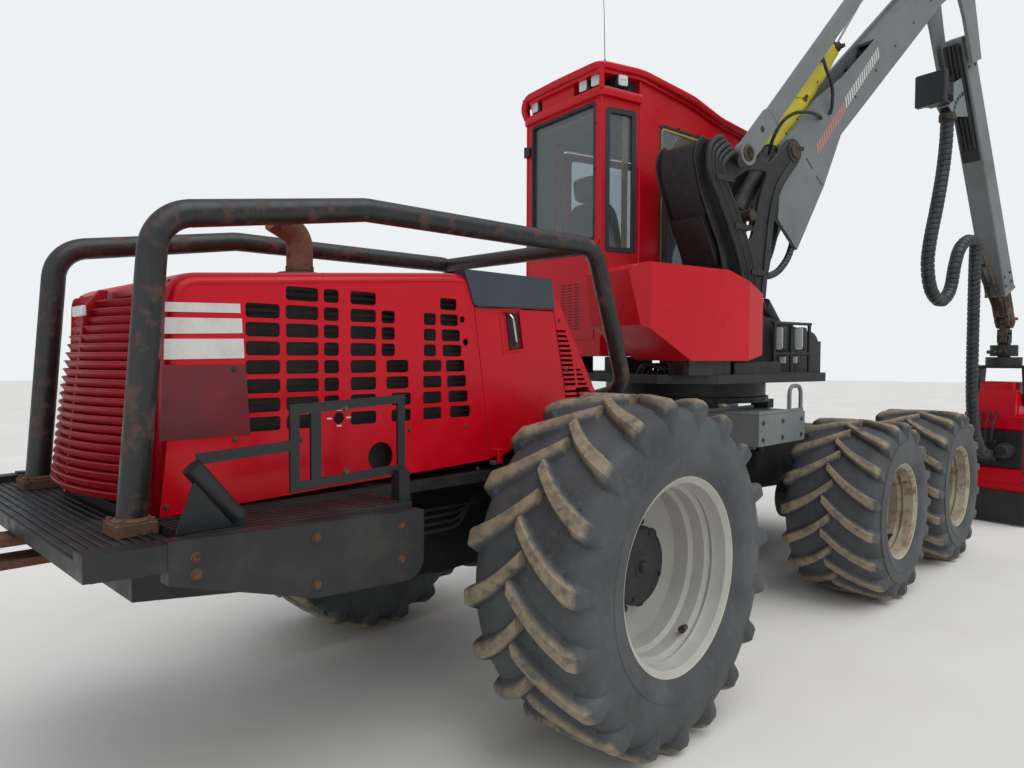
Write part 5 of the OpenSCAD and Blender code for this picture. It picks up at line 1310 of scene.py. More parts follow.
class HARVESTER_OT_seat(bpy.types.Operator):
    """Makes the driver's seat, its armrests with levers, the console and the screen."""

    bl_idname = "harvester.seat"
    bl_label = "Seat"

    def execute(self, context):
        # Middle of each armrest, sideways from the seat's middle
        arm_t = 0.285

        def seated(p):
            """Seat frame (ahead, left, up from the cab's floor) to part frame."""
            return slewed(np.asarray(p, float) + [-0.30, 0.33, FLOOR_Z + 0.05])

        frame_parts = [turned([(0.001, 0.001), (0.19, 0.001), (0.19, 0.03), (0.12, 0.05), (0.11, 0.3),
                (0.001, 0.3)], 32, seated([(0, 0, 0)])[0], (0, 0, 1))]
        frame_parts.append(moved(box((-0.25, -0.22, 0.29), (0.24, 0.22, 0.345), 0.02), seated))
        frame_parts += [moved(box((-0.35, s * arm_t - 0.02, 0.36), (-0.29, s * arm_t + 0.02, 0.62), 0.01),
                seated) for s in (-1, 1)]
        frame_parts += [moved(box((-0.33, s * arm_t - 0.045, 0.60), (0.10, s * arm_t + 0.045, 0.63), 0.012),
                seated) for s in (-1, 1)]
        piece("seat_frame", frame_parts, "lamp_body", "turntable", replaces=["seat"], slot="cloth")
        pan = moved(cushion((-0.27, -0.245, 0.335), (0.275, 0.245, 0.475), 0.42, 0.05), seated)
        made = piece("seat_cushion", [pan], "cloth", "turntable", smooth=60)
        for name, low, high, lean in (("seat_back", (-0.075, -0.235, 0.0), (0.07, 0.235, 0.66), 0.19),
                ("head_rest", (-0.05, -0.13, 0.69), (0.055, 0.13, 0.86), 0.19)):
            p, f = cushion(low, high, 0.42, 0.05)
            p = p + np.stack([-0.27 - p[:, 2] * lean, 0 * p[:, 0], 0 * p[:, 0] + 0.44], -1)
            made = piece(name, [moved((p, f), seated)], "cloth", "turntable", smooth=60)
        for name, s in (("arm_pad_right", -1), ("arm_pad_left", 1)):
            pad = moved(cushion((-0.32, s * arm_t - 0.04, 0.625), (0.03, s * arm_t + 0.04, 0.685), 0.5,
                    0.04), seated)
            piece(name, [pad], "cloth", "turntable", smooth=60)
        parts = []
        for s in (-1, 1):
            parts.append(moved(turned([(0.001, 0), (0.035, 0), (0.03, 0.02), (0.012, 0.03), (0.010, 0.06),
                    (0.022, 0.075), (0.026, 0.12), (0.020, 0.15), (0.001, 0.155)], 20,
                    (0.07, s * arm_t, 0.628), (0, 0, 1)), seated))
        # Console at the right wall, display on its arm ahead of it, dash under the windscreen
        parts.append(moved(box((0.10, -0.02, 1.84), (0.62, 0.10, 2.32), 0.03), slewed))
        parts.append(moved(box((0.62, 0.18, 1.84), (0.86, 0.58, 2.12), 0.04), slewed))
        parts.append(tube(slewed(smooth_path([(0.45, 0.06, 2.30), (0.50, 0.08, 2.62), (0.50, 0.14, 2.70)],
                0.08)), 0.014, 12))
        parts.append(moved(box((0.485, 0.06, 2.60), (0.515, 0.36, 2.82), 0.012), slewed))
        parts.append(moved(box((0.30, 0.25, 1.832), (0.55, 0.45, 1.87), 0.01), slewed))
        piece("cab_console", parts, "lamp_body", "turntable", slot="cloth")
        screen = slab(rounded(0.27, 0.19, 0.008, 2, (0.21, 2.71)), 0.481, 0.4855, 0.001, "yz")
        piece("cab_screen", [screen], "panel_dark", "turntable", slot="pane", place=slewed)
        return {"FINISHED"}


# Crane: pins in its own frame (s ahead, z up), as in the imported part
FOLD_LOW, FOLD_HIGH = np.array([-0.05, 0, 2.78]), np.array([2.25, 0, 5.67])
TIE_LOW, TIE_HIGH = np.array([-0.20, 0, 3.17]), np.array([2.40, 0, 5.957])
BOOM_PIN, STICK_PIN, TIP_PIN = np.array([0.43, 0, 3.30]), np.array([3.05, 0, 5.40]), np.array([4.55, 0, 2.18])
LEVER_PIN = np.array([-0.14, 0, 1.98])
# Length of the stick from its pin to the tip's pin
STICK_LENGTH = float(np.linalg.norm(TIP_PIN - STICK_PIN))


def on_line(a, b):
    """Place of points drawn as (along, to the left, up) from the line from a to b in the crane's plane."""
    e = (b - a) / np.linalg.norm(b - a)
    up = np.array([-e[2], 0, e[0]])

    def place(points):
        x, y, z = points.T[:, :, None]
        return craned(a + x * e + y * [0, 1, 0] + z * up)

    return place


FOLD_LINE, TIE_LINE = on_line(FOLD_LOW, FOLD_HIGH), on_line(TIE_LOW, TIE_HIGH)
STICK_LINE = on_line(STICK_PIN, TIP_PIN)


def pin_head(centre, w, side, r=0.045):
    """A pin's end: domed washer, pin and keeper plate with two bolts, on the plane w of the crane."""
    at = craned([(centre[0], w, centre[2])])[0]
    out = crane_way((0, side, 0))
    shapes = [turned([(0.001, 0.022), (r - 0.006, 0.022), (r, 0.018), (r, 0.010), (r * 1.5, 0.010),
            (r * 1.55, 0.0), (0.001, 0.0)], 32, at, out)]
    plate = box((centre[0] + 0.015, w, centre[2] + r * 0.35),
        (centre[0] + 0.10, w + side * 0.016, centre[2] + r * 0.35 + 0.03), 0.003)
    shapes.append(moved(plate, craned))
    shapes.append(hexes(craned([(centre[0] + 0.085, w + side * 0.016, centre[2] + r * 0.35 + 0.015)]), out,
            0.009, 0.007))
    return shapes


def wound(path, radius, pitch=0.05, sides=18, groove=0.22):
    """A tube with a spiral guard: radius falls by groove where (length / pitch - angle / 2 pi) % 1 is 0.5."""
    path = np.asarray(path, float)
    steps = np.concatenate([[0], np.cumsum(np.linalg.norm(np.diff(path, axis=0), axis=1))])
    count = int(steps[-1] / pitch * 8)
    at = np.linspace(0, steps[-1], count)
    line = np.stack([np.interp(at, steps, path[:, k]) for k in range(3)], -1)
    _, n, b = frames(line)
    a = np.arange(sides) * 2 * math.pi / sides
    phase = (at[:, None] / pitch - a[None] / (2 * math.pi)) % 1
    r = radius * (1 - groove * np.clip(1 - np.abs(phase - 0.5) / 0.11, 0, 1))
    grid = line[:, None] + r[..., None] * (np.cos(a)[None, :, None] * n[:, None]
        + np.sin(a)[None, :, None] * b[:, None])
    return skin(grid, round_cols=True, ends=True), line


class HARVESTER_OT_lever(bpy.types.Operator):
    """Makes the crane's lever: box with a smooth back, window in its cheeks, straps and pins."""

    bl_idname = "harvester.lever"
    bl_label = "Lever"

    def execute(self, context):
        def bent(corners, radius, steps):
            return smooth_path([(s, 0, z) for s, z in corners], radius, steps)[:, [0, 2]]

        def arc(pin, radius, first, last):
            a = np.radians(np.arange(first, last, 20))
            return pin[[0, 2]] + radius * np.stack([np.cos(a), np.sin(a)], -1)

        back = bent([(-0.28, 2.10), (-0.33, 2.30), (-0.40, 2.54), (-0.50, 2.70), (-0.60, 2.90),
                     (-0.665, 3.10), (-0.62, 3.215), (-0.46, 3.225)], 0.09, 5)
        low, boss = arc(LEVER_PIN, 0.13, 200, 345), arc(BOOM_PIN, 0.095, -20, 121)
        front = bent([(0.05, 2.05), (0.11, 2.31), (0.165, 2.42), (0.21, 2.80), (0.29, 3.02), (0.49, 3.225)],
            0.1, 5)
        outline = np.concatenate([low, front[1:], boss, [(0.142, 3.17), (-0.10, 3.19), (-0.30, 3.21)],
                back[::-1]])
        window = bent([(-0.33, 2.96), (-0.10, 3.09), (0.12, 3.11), (0.03, 2.90), (-0.05, 2.60), (-0.24, 2.56),
                       (-0.40, 2.80), (-0.33, 2.96)], 0.05, 4)[:-1]
        shapes = []
        for w in (-0.166, 0.136):
            p, f = facing(pierced(outline, [window], 0.03, 0.004), "xz")
            shapes.append((p + [0, w, 0], f))
        # The smooth back between the cheeks: the outline's rear edge, carried across
        rear = np.concatenate([back, back[::-1] + [0.022, 0.0]])
        shapes.append(slab(rear, -0.1655, 0.1655, 0.0, "xz"))
        shapes.append(slab([(-0.46, 3.205), (-0.30, 3.19), (-0.30, 3.21), (-0.46, 3.225)], -0.14, 0.14, 0,
                "xz"))
        shapes.append(slab([(-0.40, 2.40), (-0.35, 2.44), (-0.50, 2.73), (-0.56, 2.72)], -0.14, 0.14, 0,
                "xz"))
        piece("lever_box", shapes, "casting", "lever", replaces=["lever"], place=craned)
        # Strap along the front edge and the back edge of each cheek, rubbed grey
        strap = []
        for w in (-0.171, 0.171):
            line = [(s + 0.012, w, z) for s, z in back[3:-2]]
            strap.append(carried(rounded(0.012, 0.055, 0.003, 1), line))
            edge = smooth_path([(0.08, w, 2.20), (0.105, w, 2.42), (0.155, w, 2.80), (0.23, w, 3.02),
                    (0.40, w, 3.20)], 0.1, 5)
            strap.append(carried(rounded(0.012, 0.05, 0.003, 1), edge))
        piece("lever_straps", strap, "chassis", "lever", place=craned)
        pins = []
        for c in (LEVER_PIN, BOOM_PIN):
            for side in (-1, 1):
                reach = 0.203 if c is LEVER_PIN else 0.166
                pins += pin_head(c, side * reach, side, 0.05)
        for c in (np.array([-0.14, 0, 2.23]), FOLD_LOW):
            pins.append(tube(craned([(c[0], -0.172, c[2]), (c[0], 0.172, c[2])]), 0.04, 24))
        pins.append(tube(craned([(TIE_LOW[0], -0.252, TIE_LOW[2]), (TIE_LOW[0], -0.15, TIE_LOW[2])]), 0.04,
                24))
        pins.append(turned([(0.001, 0.012), (0.042, 0.012), (0.055, 0.006), (0.055, 0), (0.001, 0)], 28,
                craned([(TIE_LOW[0], -0.24, TIE_LOW[2])])[0], crane_way((0, -1, 0))))
        piece("lever_pins", pins, "iron", "lever")
        # Valve block and accumulator seen through the window
        inside = [moved(box((-0.42, -0.10, 2.62), (-0.20, 0.02, 2.86), 0.012), craned)]
        inside.append(tube(craned([(-0.30, 0.07, 2.50), (-0.16, 0.07, 3.00)]), 0.055, 24))
        inside.append(tube(craned([(-0.36, -0.05, 2.84), (-0.30, -0.05, 3.08), (-0.10, -0.05, 3.16)]), 0.03,
                14))
        piece("lever_valve", inside, "engine", "lever", slot="black_paint")
        return {"FINISHED"}


class HARVESTER_OT_boom_trim(bpy.types.Operator):
    """Makes the boom's stripes, its slots drawn as dark strips of painted shade, pipes, clamps and pins, and
    the tie bar's rings and its hole drawn as a dark disc of painted shade.
    """

    bl_idname = "harvester.boom_trim"
    bl_label = "Boom trim"

    def execute(self, context):
        start, run = np.array([0.77, 3.37]), np.array([0.680, 0.733])
        lean = np.array([-0.24, 0.971])
        bars = {"pink": [], "film_white": []}
        for k in range(30):
            c = start + run * (0.03 + k * 0.0425) + [0.0, 0.02 if k > 12 else 0]
            o = np.array([c + run * 0.011 * a + lean * 0.042 * b
                    for a, b in ((-1, -1), (1, -1), (1, 1), (-1, 1))])
            bars["pink" if k < 13 else "film_white"].append(slab(o, -0.1312, -0.1296, axes="xz"))
        for name, shapes in bars.items():
            piece("boom_stripes_" + name, shapes, name, "boom", slot="grey_paint", place=craned)
        # Slots in the boom's side: flat dark strips on the surface, painted shade of the slots
        slots = []
        for a, b in (((0.636, 3.293), (0.724, 3.223)), ((0.765, 3.178), (0.859, 3.116))):
            a, b = np.array(a), np.array(b)
            d = (b - a) / np.linalg.norm(b - a)
            n = np.array([-d[1], d[0]]) * 0.006
            slots.append(slab([a - n, b - n, b + n, a + n], -0.1305, -0.1290, axes="xz"))
        piece("boom_slot_shade", slots, "seal", "boom", slot="grey_paint", place=craned)
        pins = []
        for side in (-1, 1):
            pins += pin_head(STICK_PIN, side * 0.166, side, 0.05)
        for x in np.linspace(1.3, 2.5, 5):
            pins.append(hexes(craned([(x, -0.131, 3.62 + (x - 1.103) * 0.914 + 0.09)]),
                    crane_way((0, -1, 0)), 0.008, 0.006))
        piece("boom_pins", pins, "iron", "boom")
        # Pipes along the boom's upper edge: steel on the near side, hoses behind them, held by clamps

        def edge(w, up):
            return craned(smooth_path([(1.0, w, 3.42 + up), (1.16, w, 3.68 + up), (1.30, w, 3.90 + up),
                    (1.44, w, 4.08 + up), (2.50, w, 5.02 + up), (2.62, w, 5.09 + up)], 0.08, 4))
        steel = [tube(edge(w, up), 0.0105, 10) for w, up in ((-0.084, 0.048), (-0.066, 0.050),
                (-0.048, 0.048))]
        piece("boom_pipes", steel, "chrome", "boom", smooth=35, slot="grey_paint")
        soft = [tube(edge(w, up), 0.014, 10) for w, up in ((-0.085, 0.012), (-0.024, 0.05), (0.010, 0.046),
                (0.044, 0.05), (0.078, 0.045))]
        tray = smooth_path([(1.0, 0, 3.38), (1.16, 0, 3.63), (1.30, 0, 3.86), (1.44, 0, 4.05),
                (2.50, 0, 4.99), (2.60, 0, 5.05)], 0.08, 4)[:, [0, 2]]
        soft.append(moved(slab(np.concatenate([tray, tray[::-1] - [0, 0.006]]), -0.0995, 0.0995, axes="xz"),
                craned))
        piece("boom_hoses", soft, "hose", "boom", smooth=35)
        clamps = []
        for k in np.linspace(0.05, 0.95, 6):
            c = np.array([1.50 + k, 0, 4.153 + 0.887 * k])
            clamps.append(moved(box((-0.02, -0.099, -0.005), (0.02, 0.099, 0.045), 0.004),
                    on_line(c, c + np.array([0.753, 0, 0.658]))))
            clamps.append(hexes(craned([(c[0] - 0.028, w, c[2] + 0.034) for w in (-0.068, 0.027, 0.085)]),
                                crane_way((-0.658, 0, 0.753)), 0.008, 0.008))
        piece("boom_clamps", clamps, "lamp_body", "boom", slot="grey_paint")
        # Tie bar: washer and band near its lower end, and the second hole as a flat dark disc: painted shade
        tie = [turned([(0.060, 0.0305), (0.066, 0.0335), (0.082, 0.0335), (0.082, 0.030), (0.060, 0.030)],
                36, (0, -0.21, 0), (0, -1, 0))]
        tie.append(box((0.40, -0.244, -0.066), (0.425, -0.178, 0.066), 0.004))
        piece("tie_bar_rings", tie, "crane", "tie_bar", place=TIE_LINE)
        holes = [pipe(0.001, 0.022, 0.0315, 0.030, 24, (0.24, -0.21, 0.02), (0, -1, 0))]
        piece("tie_bar_hole_shade", holes, "seal", "tie_bar", slot="grey_paint", place=TIE_LINE)
        return {"FINISHED"}


class HARVESTER_OT_cylinders(bpy.types.Operator):
    """Makes the fold cylinder's barrel with its yellow sleeve and two ports."""

    bl_idname = "harvester.cylinders"
    bl_label = "Cylinders"

    def execute(self, context):
        def lying(profile, sides=40):
            return turned(profile, sides, (0, 0, 0), (1, 0, 0))

        eye = turned([(0.0402, -0.06), (0.074, -0.06), (0.08, -0.054), (0.08, 0.054), (0.074, 0.06),
                (0.0402, 0.06)], 40, (0, 0, 0), (0, 1, 0))
        tube_low = lying([(0.001, 0.055), (0.07, 0.055), (0.072, 0.075), (0.072, 0.14), (0.068, 0.15),
                (0.068, 0.74), (0.001, 0.74)])
        end = lying([(0.0345, 1.86), (0.0345, 1.936), (0.060, 1.936), (0.066, 1.928), (0.070, 1.90),
                (0.070, 1.86), (0.060, 1.855)])
        piece("fold_tube", [eye, tube_low, end], "casting", "fold_barrel", replaces=["fold_barrel"],
            slot="yellow_sleeve", place=FOLD_LINE)
        a = np.arange(40) * 2 * math.pi / 40
        x = np.concatenate([[0.70, 0.70], np.linspace(0.705, 1.875, 60), [1.88, 1.88]])
        # Sleeve: radius 0.0762 with soft folds, 0.0018 sin(11 x + 2 angle) + 0.0012 sin(37 x - 3 angle)
        broad, fine = np.sin(11 * x[:, None] + 2 * a[None]), np.sin(37 * x[:, None] - 3 * a[None])
        r = 0.0762 + 0.0018 * broad + 0.0012 * fine
        r[[0, -1]] = 0.0695
        r[1], r[-2] = 0.0745, 0.0745
        grid = np.stack([np.broadcast_to(x[:, None], r.shape), r * np.cos(a), r * np.sin(a)], -1)
        inner = grid[::-1].copy()
        inner[..., 1:] *= (0.0685 / r[::-1])[..., None]
        sleeve = outward(skin(np.concatenate([grid, inner]), round_rows=True, round_cols=True))
        piece("fold_sleeve", [sleeve], "sleeve", "fold_barrel", smooth=60, place=FOLD_LINE)
        ports = []
        for x0 in (0.62, 1.89):
            ports.append(box((x0 - 0.03, -0.095, -0.025), (x0 + 0.03, -0.055, 0.03), 0.006))
            ports.append(turned([(0.001, 0.13), (0.017, 0.13), (0.017, 0.115), (0.021, 0.113),
                    (0.021, 0.095), (0.001, 0.09)], 6, (x0, 0, 0), (0, -1, 0)))
        piece("fold_ports", ports, "iron", "fold_barrel", place=FOLD_LINE)
        return {"FINISHED"}


class HARVESTER_OT_stick_trim(bpy.types.Operator):
    """Makes the stick's lamp, bracket, links, collar, hoses and bolts, and the hose carrier."""

    bl_idname = "harvester.stick_trim"
    bl_label = "Stick trim"

    def execute(self, context):
        # Bracket from the stick back to the lamp, with its clamp for the hose
        arms = [slab([(3.02, 4.20), (3.10, 4.40), (3.34, 4.52), (3.50, 4.35), (3.46, 4.16), (3.16, 4.10)],
                w, w + 0.012, 0.002, "xz") for w in (-0.055, 0.043)]
        arms.append(box((3.04, -0.055, 4.18), (3.06, 0.055, 4.40), 0.003))
        piece("stick_bracket", arms, "lining", "stick", slot="grey_paint", place=craned)
        lamp = [box((2.80, -0.13, 4.16), (2.87, 0.15, 4.46), 0.012),
            box((2.87, -0.10, 4.19), (3.04, 0.12, 4.43), 0.02)]
        lamp += [box((2.875 + k * 0.03, -0.115, 4.20), (2.882 + k * 0.03, 0.135, 4.42), 0.002)
            for k in range(5)]
        lamp.append(slab(rounded(0.13, 0.12, 0.02, 3, (2.94, 4.31)), -0.112, -0.10, 0.003, "xz"))
        piece("stick_lamp_body", lamp, "lamp_body", "stick", place=craned)
        lens = slab(rounded(0.20, 0.22, 0.02, 3, (0.01, 4.31)), 3.041, 3.047, 0.002, "yz")
        piece("stick_lamp_lens", [lens], "lens", "stick", place=craned)
        links = [pipe(0.001, 0.05, -0.012, 0.012, 24, (3.40 + k * 0.045, -0.07, 4.46 - k * 0.085),
                (0, 1, 0)) for k in range(4)]
        clamp = pipe(0.061, 0.074, -0.03, 0.03, 28, (3.14, 0.0, 4.10), (0.05, 0, 1))
        piece("stick_links", links + [clamp], "iron", "stick", place=craned)
        end = STICK_LENGTH - 0.33
        trim = [box((end - 0.03, -0.1, 0.118), (end + 0.001, 0.1, 0.132), 0.003),
            box((end - 0.03, -0.1, -0.132), (end + 0.001, 0.1, -0.118), 0.003),
            box((end - 0.03, -0.102, -0.13), (end + 0.001, -0.092, 0.13), 0.003),
            box((end - 0.03, 0.092, -0.13), (end + 0.001, 0.102, 0.13), 0.003)]
        trim += [box((0.58, s * 0.0955 - 0.004, -0.11), (end, s * 0.0955 + 0.004, -0.098), 0.002)
            for s in (-1, 1)]
        piece("stick_collar", trim, "crane", "stick", place=STICK_LINE)
        bolts = [(x, -0.0965, z) for x in (0.75, 0.85, end - 0.10, end - 0.20) for z in (-0.07, 0.07)]
        p, f = hexes(bolts, (0, -1, 0), 0.011, 0.009)
        pins = []
        for pin, side in ((TIE_HIGH, -1), (FOLD_HIGH, -1), (FOLD_HIGH, 1)):
            pins += pin_head(pin, side * 0.166, side, 0.042)
        piece("stick_bolts", [moved((p, f), STICK_LINE), *pins], "iron", "stick")
        # Black hose bundle and hose tray on the stick's rear face
        tray = [box((0.62, -0.08, -0.136), (1.75, 0.08, -0.122), 0.003)]
        tray += [tube([(0.60, w, -0.150), (1.1, w, -0.152), (1.62, w, -0.150)], 0.016, 10)
            for w in (-0.055, -0.02, 0.018, 0.054)]
        piece("stick_hoses", tray, "hose", "stick", smooth=35, place=STICK_LINE)
        # Carrier arm at the extension's end, with its rollers
        foot, top = np.array([4.43, 0, 2.30]), np.array([3.80, 0, 2.93])
        line = on_line(foot, top)
        carrier = []
        for w in (-0.052, 0.040):
            carrier.append(moved(box((-0.06, w, -0.038), (0.88, w + 0.012, 0.038), 0.003), line))
        for x in (0.05, 0.36, 0.62, 0.86):
            carrier.append(moved(pipe(0.001, 0.02, -0.046, 0.046, 18, (x, 0, 0), (0, 1, 0)), line))
        heads = craned([foot + (top - foot) * k + [0, -0.053, 0] for k in (0.1, 0.4, 0.7, 0.95)])
        carrier += [hexes([at], crane_way((0, -1, 0)), 0.012, 0.01) for at in heads]
        carrier.append(moved(box((-0.10, -0.05, -0.05), (0.02, 0.05, 0.03), 0.008), line))
        piece("hose_carrier", carrier, "iron", "extension")
        pins = []
        for side in (-1, 1):
            pins += pin_head(TIP_PIN, side * 0.073, side, 0.032)
        bolts = [(x, -0.0695, z) for x in (STICK_LENGTH - 0.25, STICK_LENGTH - 0.17)
            for z in (-0.05, 0.0, 0.05)]
        p, f = hexes(bolts, (0, -1, 0), 0.012, 0.01)
        piece("extension_bolts", [*pins, moved((p, f), STICK_LINE)], "rust", "extension", slot="iron")
        return {"FINISHED"}


def free_hose(name, corners, radius, look, body, spiral=None, across=None):
    """A hose along a smooth curve through corners given in the crane's frame."""
    path = craned(hang(corners, 10))
    at = np.concatenate([[0], np.cumsum(np.linalg.norm(np.diff(path, axis=0), axis=1))])
    count = max(24, int(at[-1] / max(radius * 1.4, 0.02)))
    k = np.linspace(0, at[-1], count)
    line = np.stack([np.interp(k, at, path[:, i]) for i in range(3)], -1)
    if spiral:
        shape, line = wound(line, radius, spiral)
    else:
        shape = tube(line, radius, 14)
    made = piece(name, [shape], look, None if across else body, smooth=35, slot="grey_paint")
    length = float(np.sum(np.linalg.norm(np.diff(line, axis=0), axis=1)))
    if across:
        [craned([p])[0].tolist() for p in across[2:]]
        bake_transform(made)
    return made


class HARVESTER_OT_hoses(bpy.types.Operator):
    """Makes the crane's hoses and the clamps on the lever."""

    bl_idname = "harvester.hoses"
    bl_label = "Hoses"

    def execute(self, context):
        r = context.scene.harvester_body.hose / 2
        # Spiral-wrapped bundle from the stick's back in a loop to the carrier
        free_hose("hose_loop", [(3.39, 0, 4.38), (3.28, 0, 4.33), (3.18, 0, 4.23), (3.14, 0, 4.07),
                (3.13, 0, 3.90), (3.08, 0, 3.60), (2.98, 0, 3.25), (2.86, 0, 2.90), (2.82, 0, 2.65),
                (2.90, 0, 2.42), (3.10, 0, 2.33), (3.28, 0, 2.45), (3.36, 0, 2.68), (3.46, 0, 2.87),
                (3.64, 0, 2.97), (3.80, 0, 2.96)], 0.0595, "spiral", "stick", 0.055,
            ("stick", "extension", (3.0, 0, 2.9), (3.55, 0, 2.75)))
        # The same bundle hanging from the carrier to the head
        free_hose("hose_drop", [(3.81, 0, 2.93), (3.80, 0, 2.70), (3.80, 0, 2.30), (3.80, 0, 1.80),
                (3.81, 0, 1.40), (3.86, 0, 1.10), (3.97, 0, 0.88), (4.15, 0, 0.76), (4.37, 0, 0.74)],
            0.0575, "spiral", "extension", 0.05,
            ("extension", "tip_link", (3.80, 0, 2.6), (3.85, 0, 1.2)))

        def by_barrel(x, w, up):
            e = (FOLD_HIGH - FOLD_LOW) / np.linalg.norm(FOLD_HIGH - FOLD_LOW)
            return tuple(FOLD_LOW + x * e + up * np.array([-e[2], 0, e[0]]) + [0, w, 0])

        # Hoses of the fold cylinder's two ports
        free_hose("sleeve_hose_upper", [by_barrel(*p)
                for p in ((1.66, -0.055, 0.060), (1.63, -0.09, 0.105), (1.56, -0.135, 0.105),
                (1.49, -0.165, 0.06), (1.45, -0.18, -0.02), (1.41, -0.172, -0.10), (1.34, -0.155, -0.18),
                (1.31, -0.137, -0.21))], r, "hose", "fold_barrel")
        free_hose("sleeve_hose_lower", [by_barrel(*p)
                for p in ((0.62, -0.05, 0.055), (0.68, -0.09, 0.12), (0.80, -0.13, 0.155),
                (0.93, -0.16, 0.12), (1.05, -0.18, 0.02), (1.13, -0.168, -0.07), (1.18, -0.15, -0.125),
                (1.195, -0.137, -0.15))], r, "hose", "fold_barrel")
        # Bundle down the lever's near side, from the boom's foot to the turntable
        for k in range(5):
            d = k * 0.034
            free_hose(f"lever_hose_{k + 1}", [(-0.36 + d, -0.175, 3.19 - 0.02 * k),
                    (-0.46 + d, -0.215, 3.24 - 0.02 * k), (-0.60 + d, -0.24, 3.15 - 0.02 * k),
                    (-0.60 + d, -0.24, 2.98), (-0.48 + d, -0.235, 2.80), (-0.36 + d, -0.235, 2.60),
                    (-0.26 + d, -0.235, 2.38), (-0.20 + d, -0.215, 2.12)], 0.0155 if k % 2 else 0.018,
                "hose", "lever", None,
                ("turntable", "lever", (-0.1, 0, 2.16), (-0.2, 0, 2.5)))
        # Two spiral-wrapped hoses out of the boom's open foot, back to the lever
        for k, w in enumerate((-0.09, 0.09)):
            free_hose(f"boom_foot_hose_{k + 1}", [(0.60, w, 2.84), (0.56, w, 2.70), (0.49, w, 2.54),
                    (0.38, w, 2.43), (0.26, w * 1.1, 2.38), (0.14, w * 1.25, 2.37)], 0.026, "spiral",
                "boom", 0.035, ("lever", "boom", (0.22, 0, 2.38), (0.58, 0, 2.78)))
        clamps = []
        for s, z in ((-0.50, 2.96), (-0.30, 2.66), (-0.12, 2.36)):
            clamps.append(box((s - 0.05, -0.262, z - 0.018), (s + 0.13, -0.256, z + 0.018), 0.002))
            clamps.append(box((s + 0.12, -0.262, z - 0.014), (s + 0.135, -0.166, z + 0.014), 0.002))
        piece("lever_hose_clamps", clamps, "casting", "lever", place=craned)
        return {"FINISHED"}


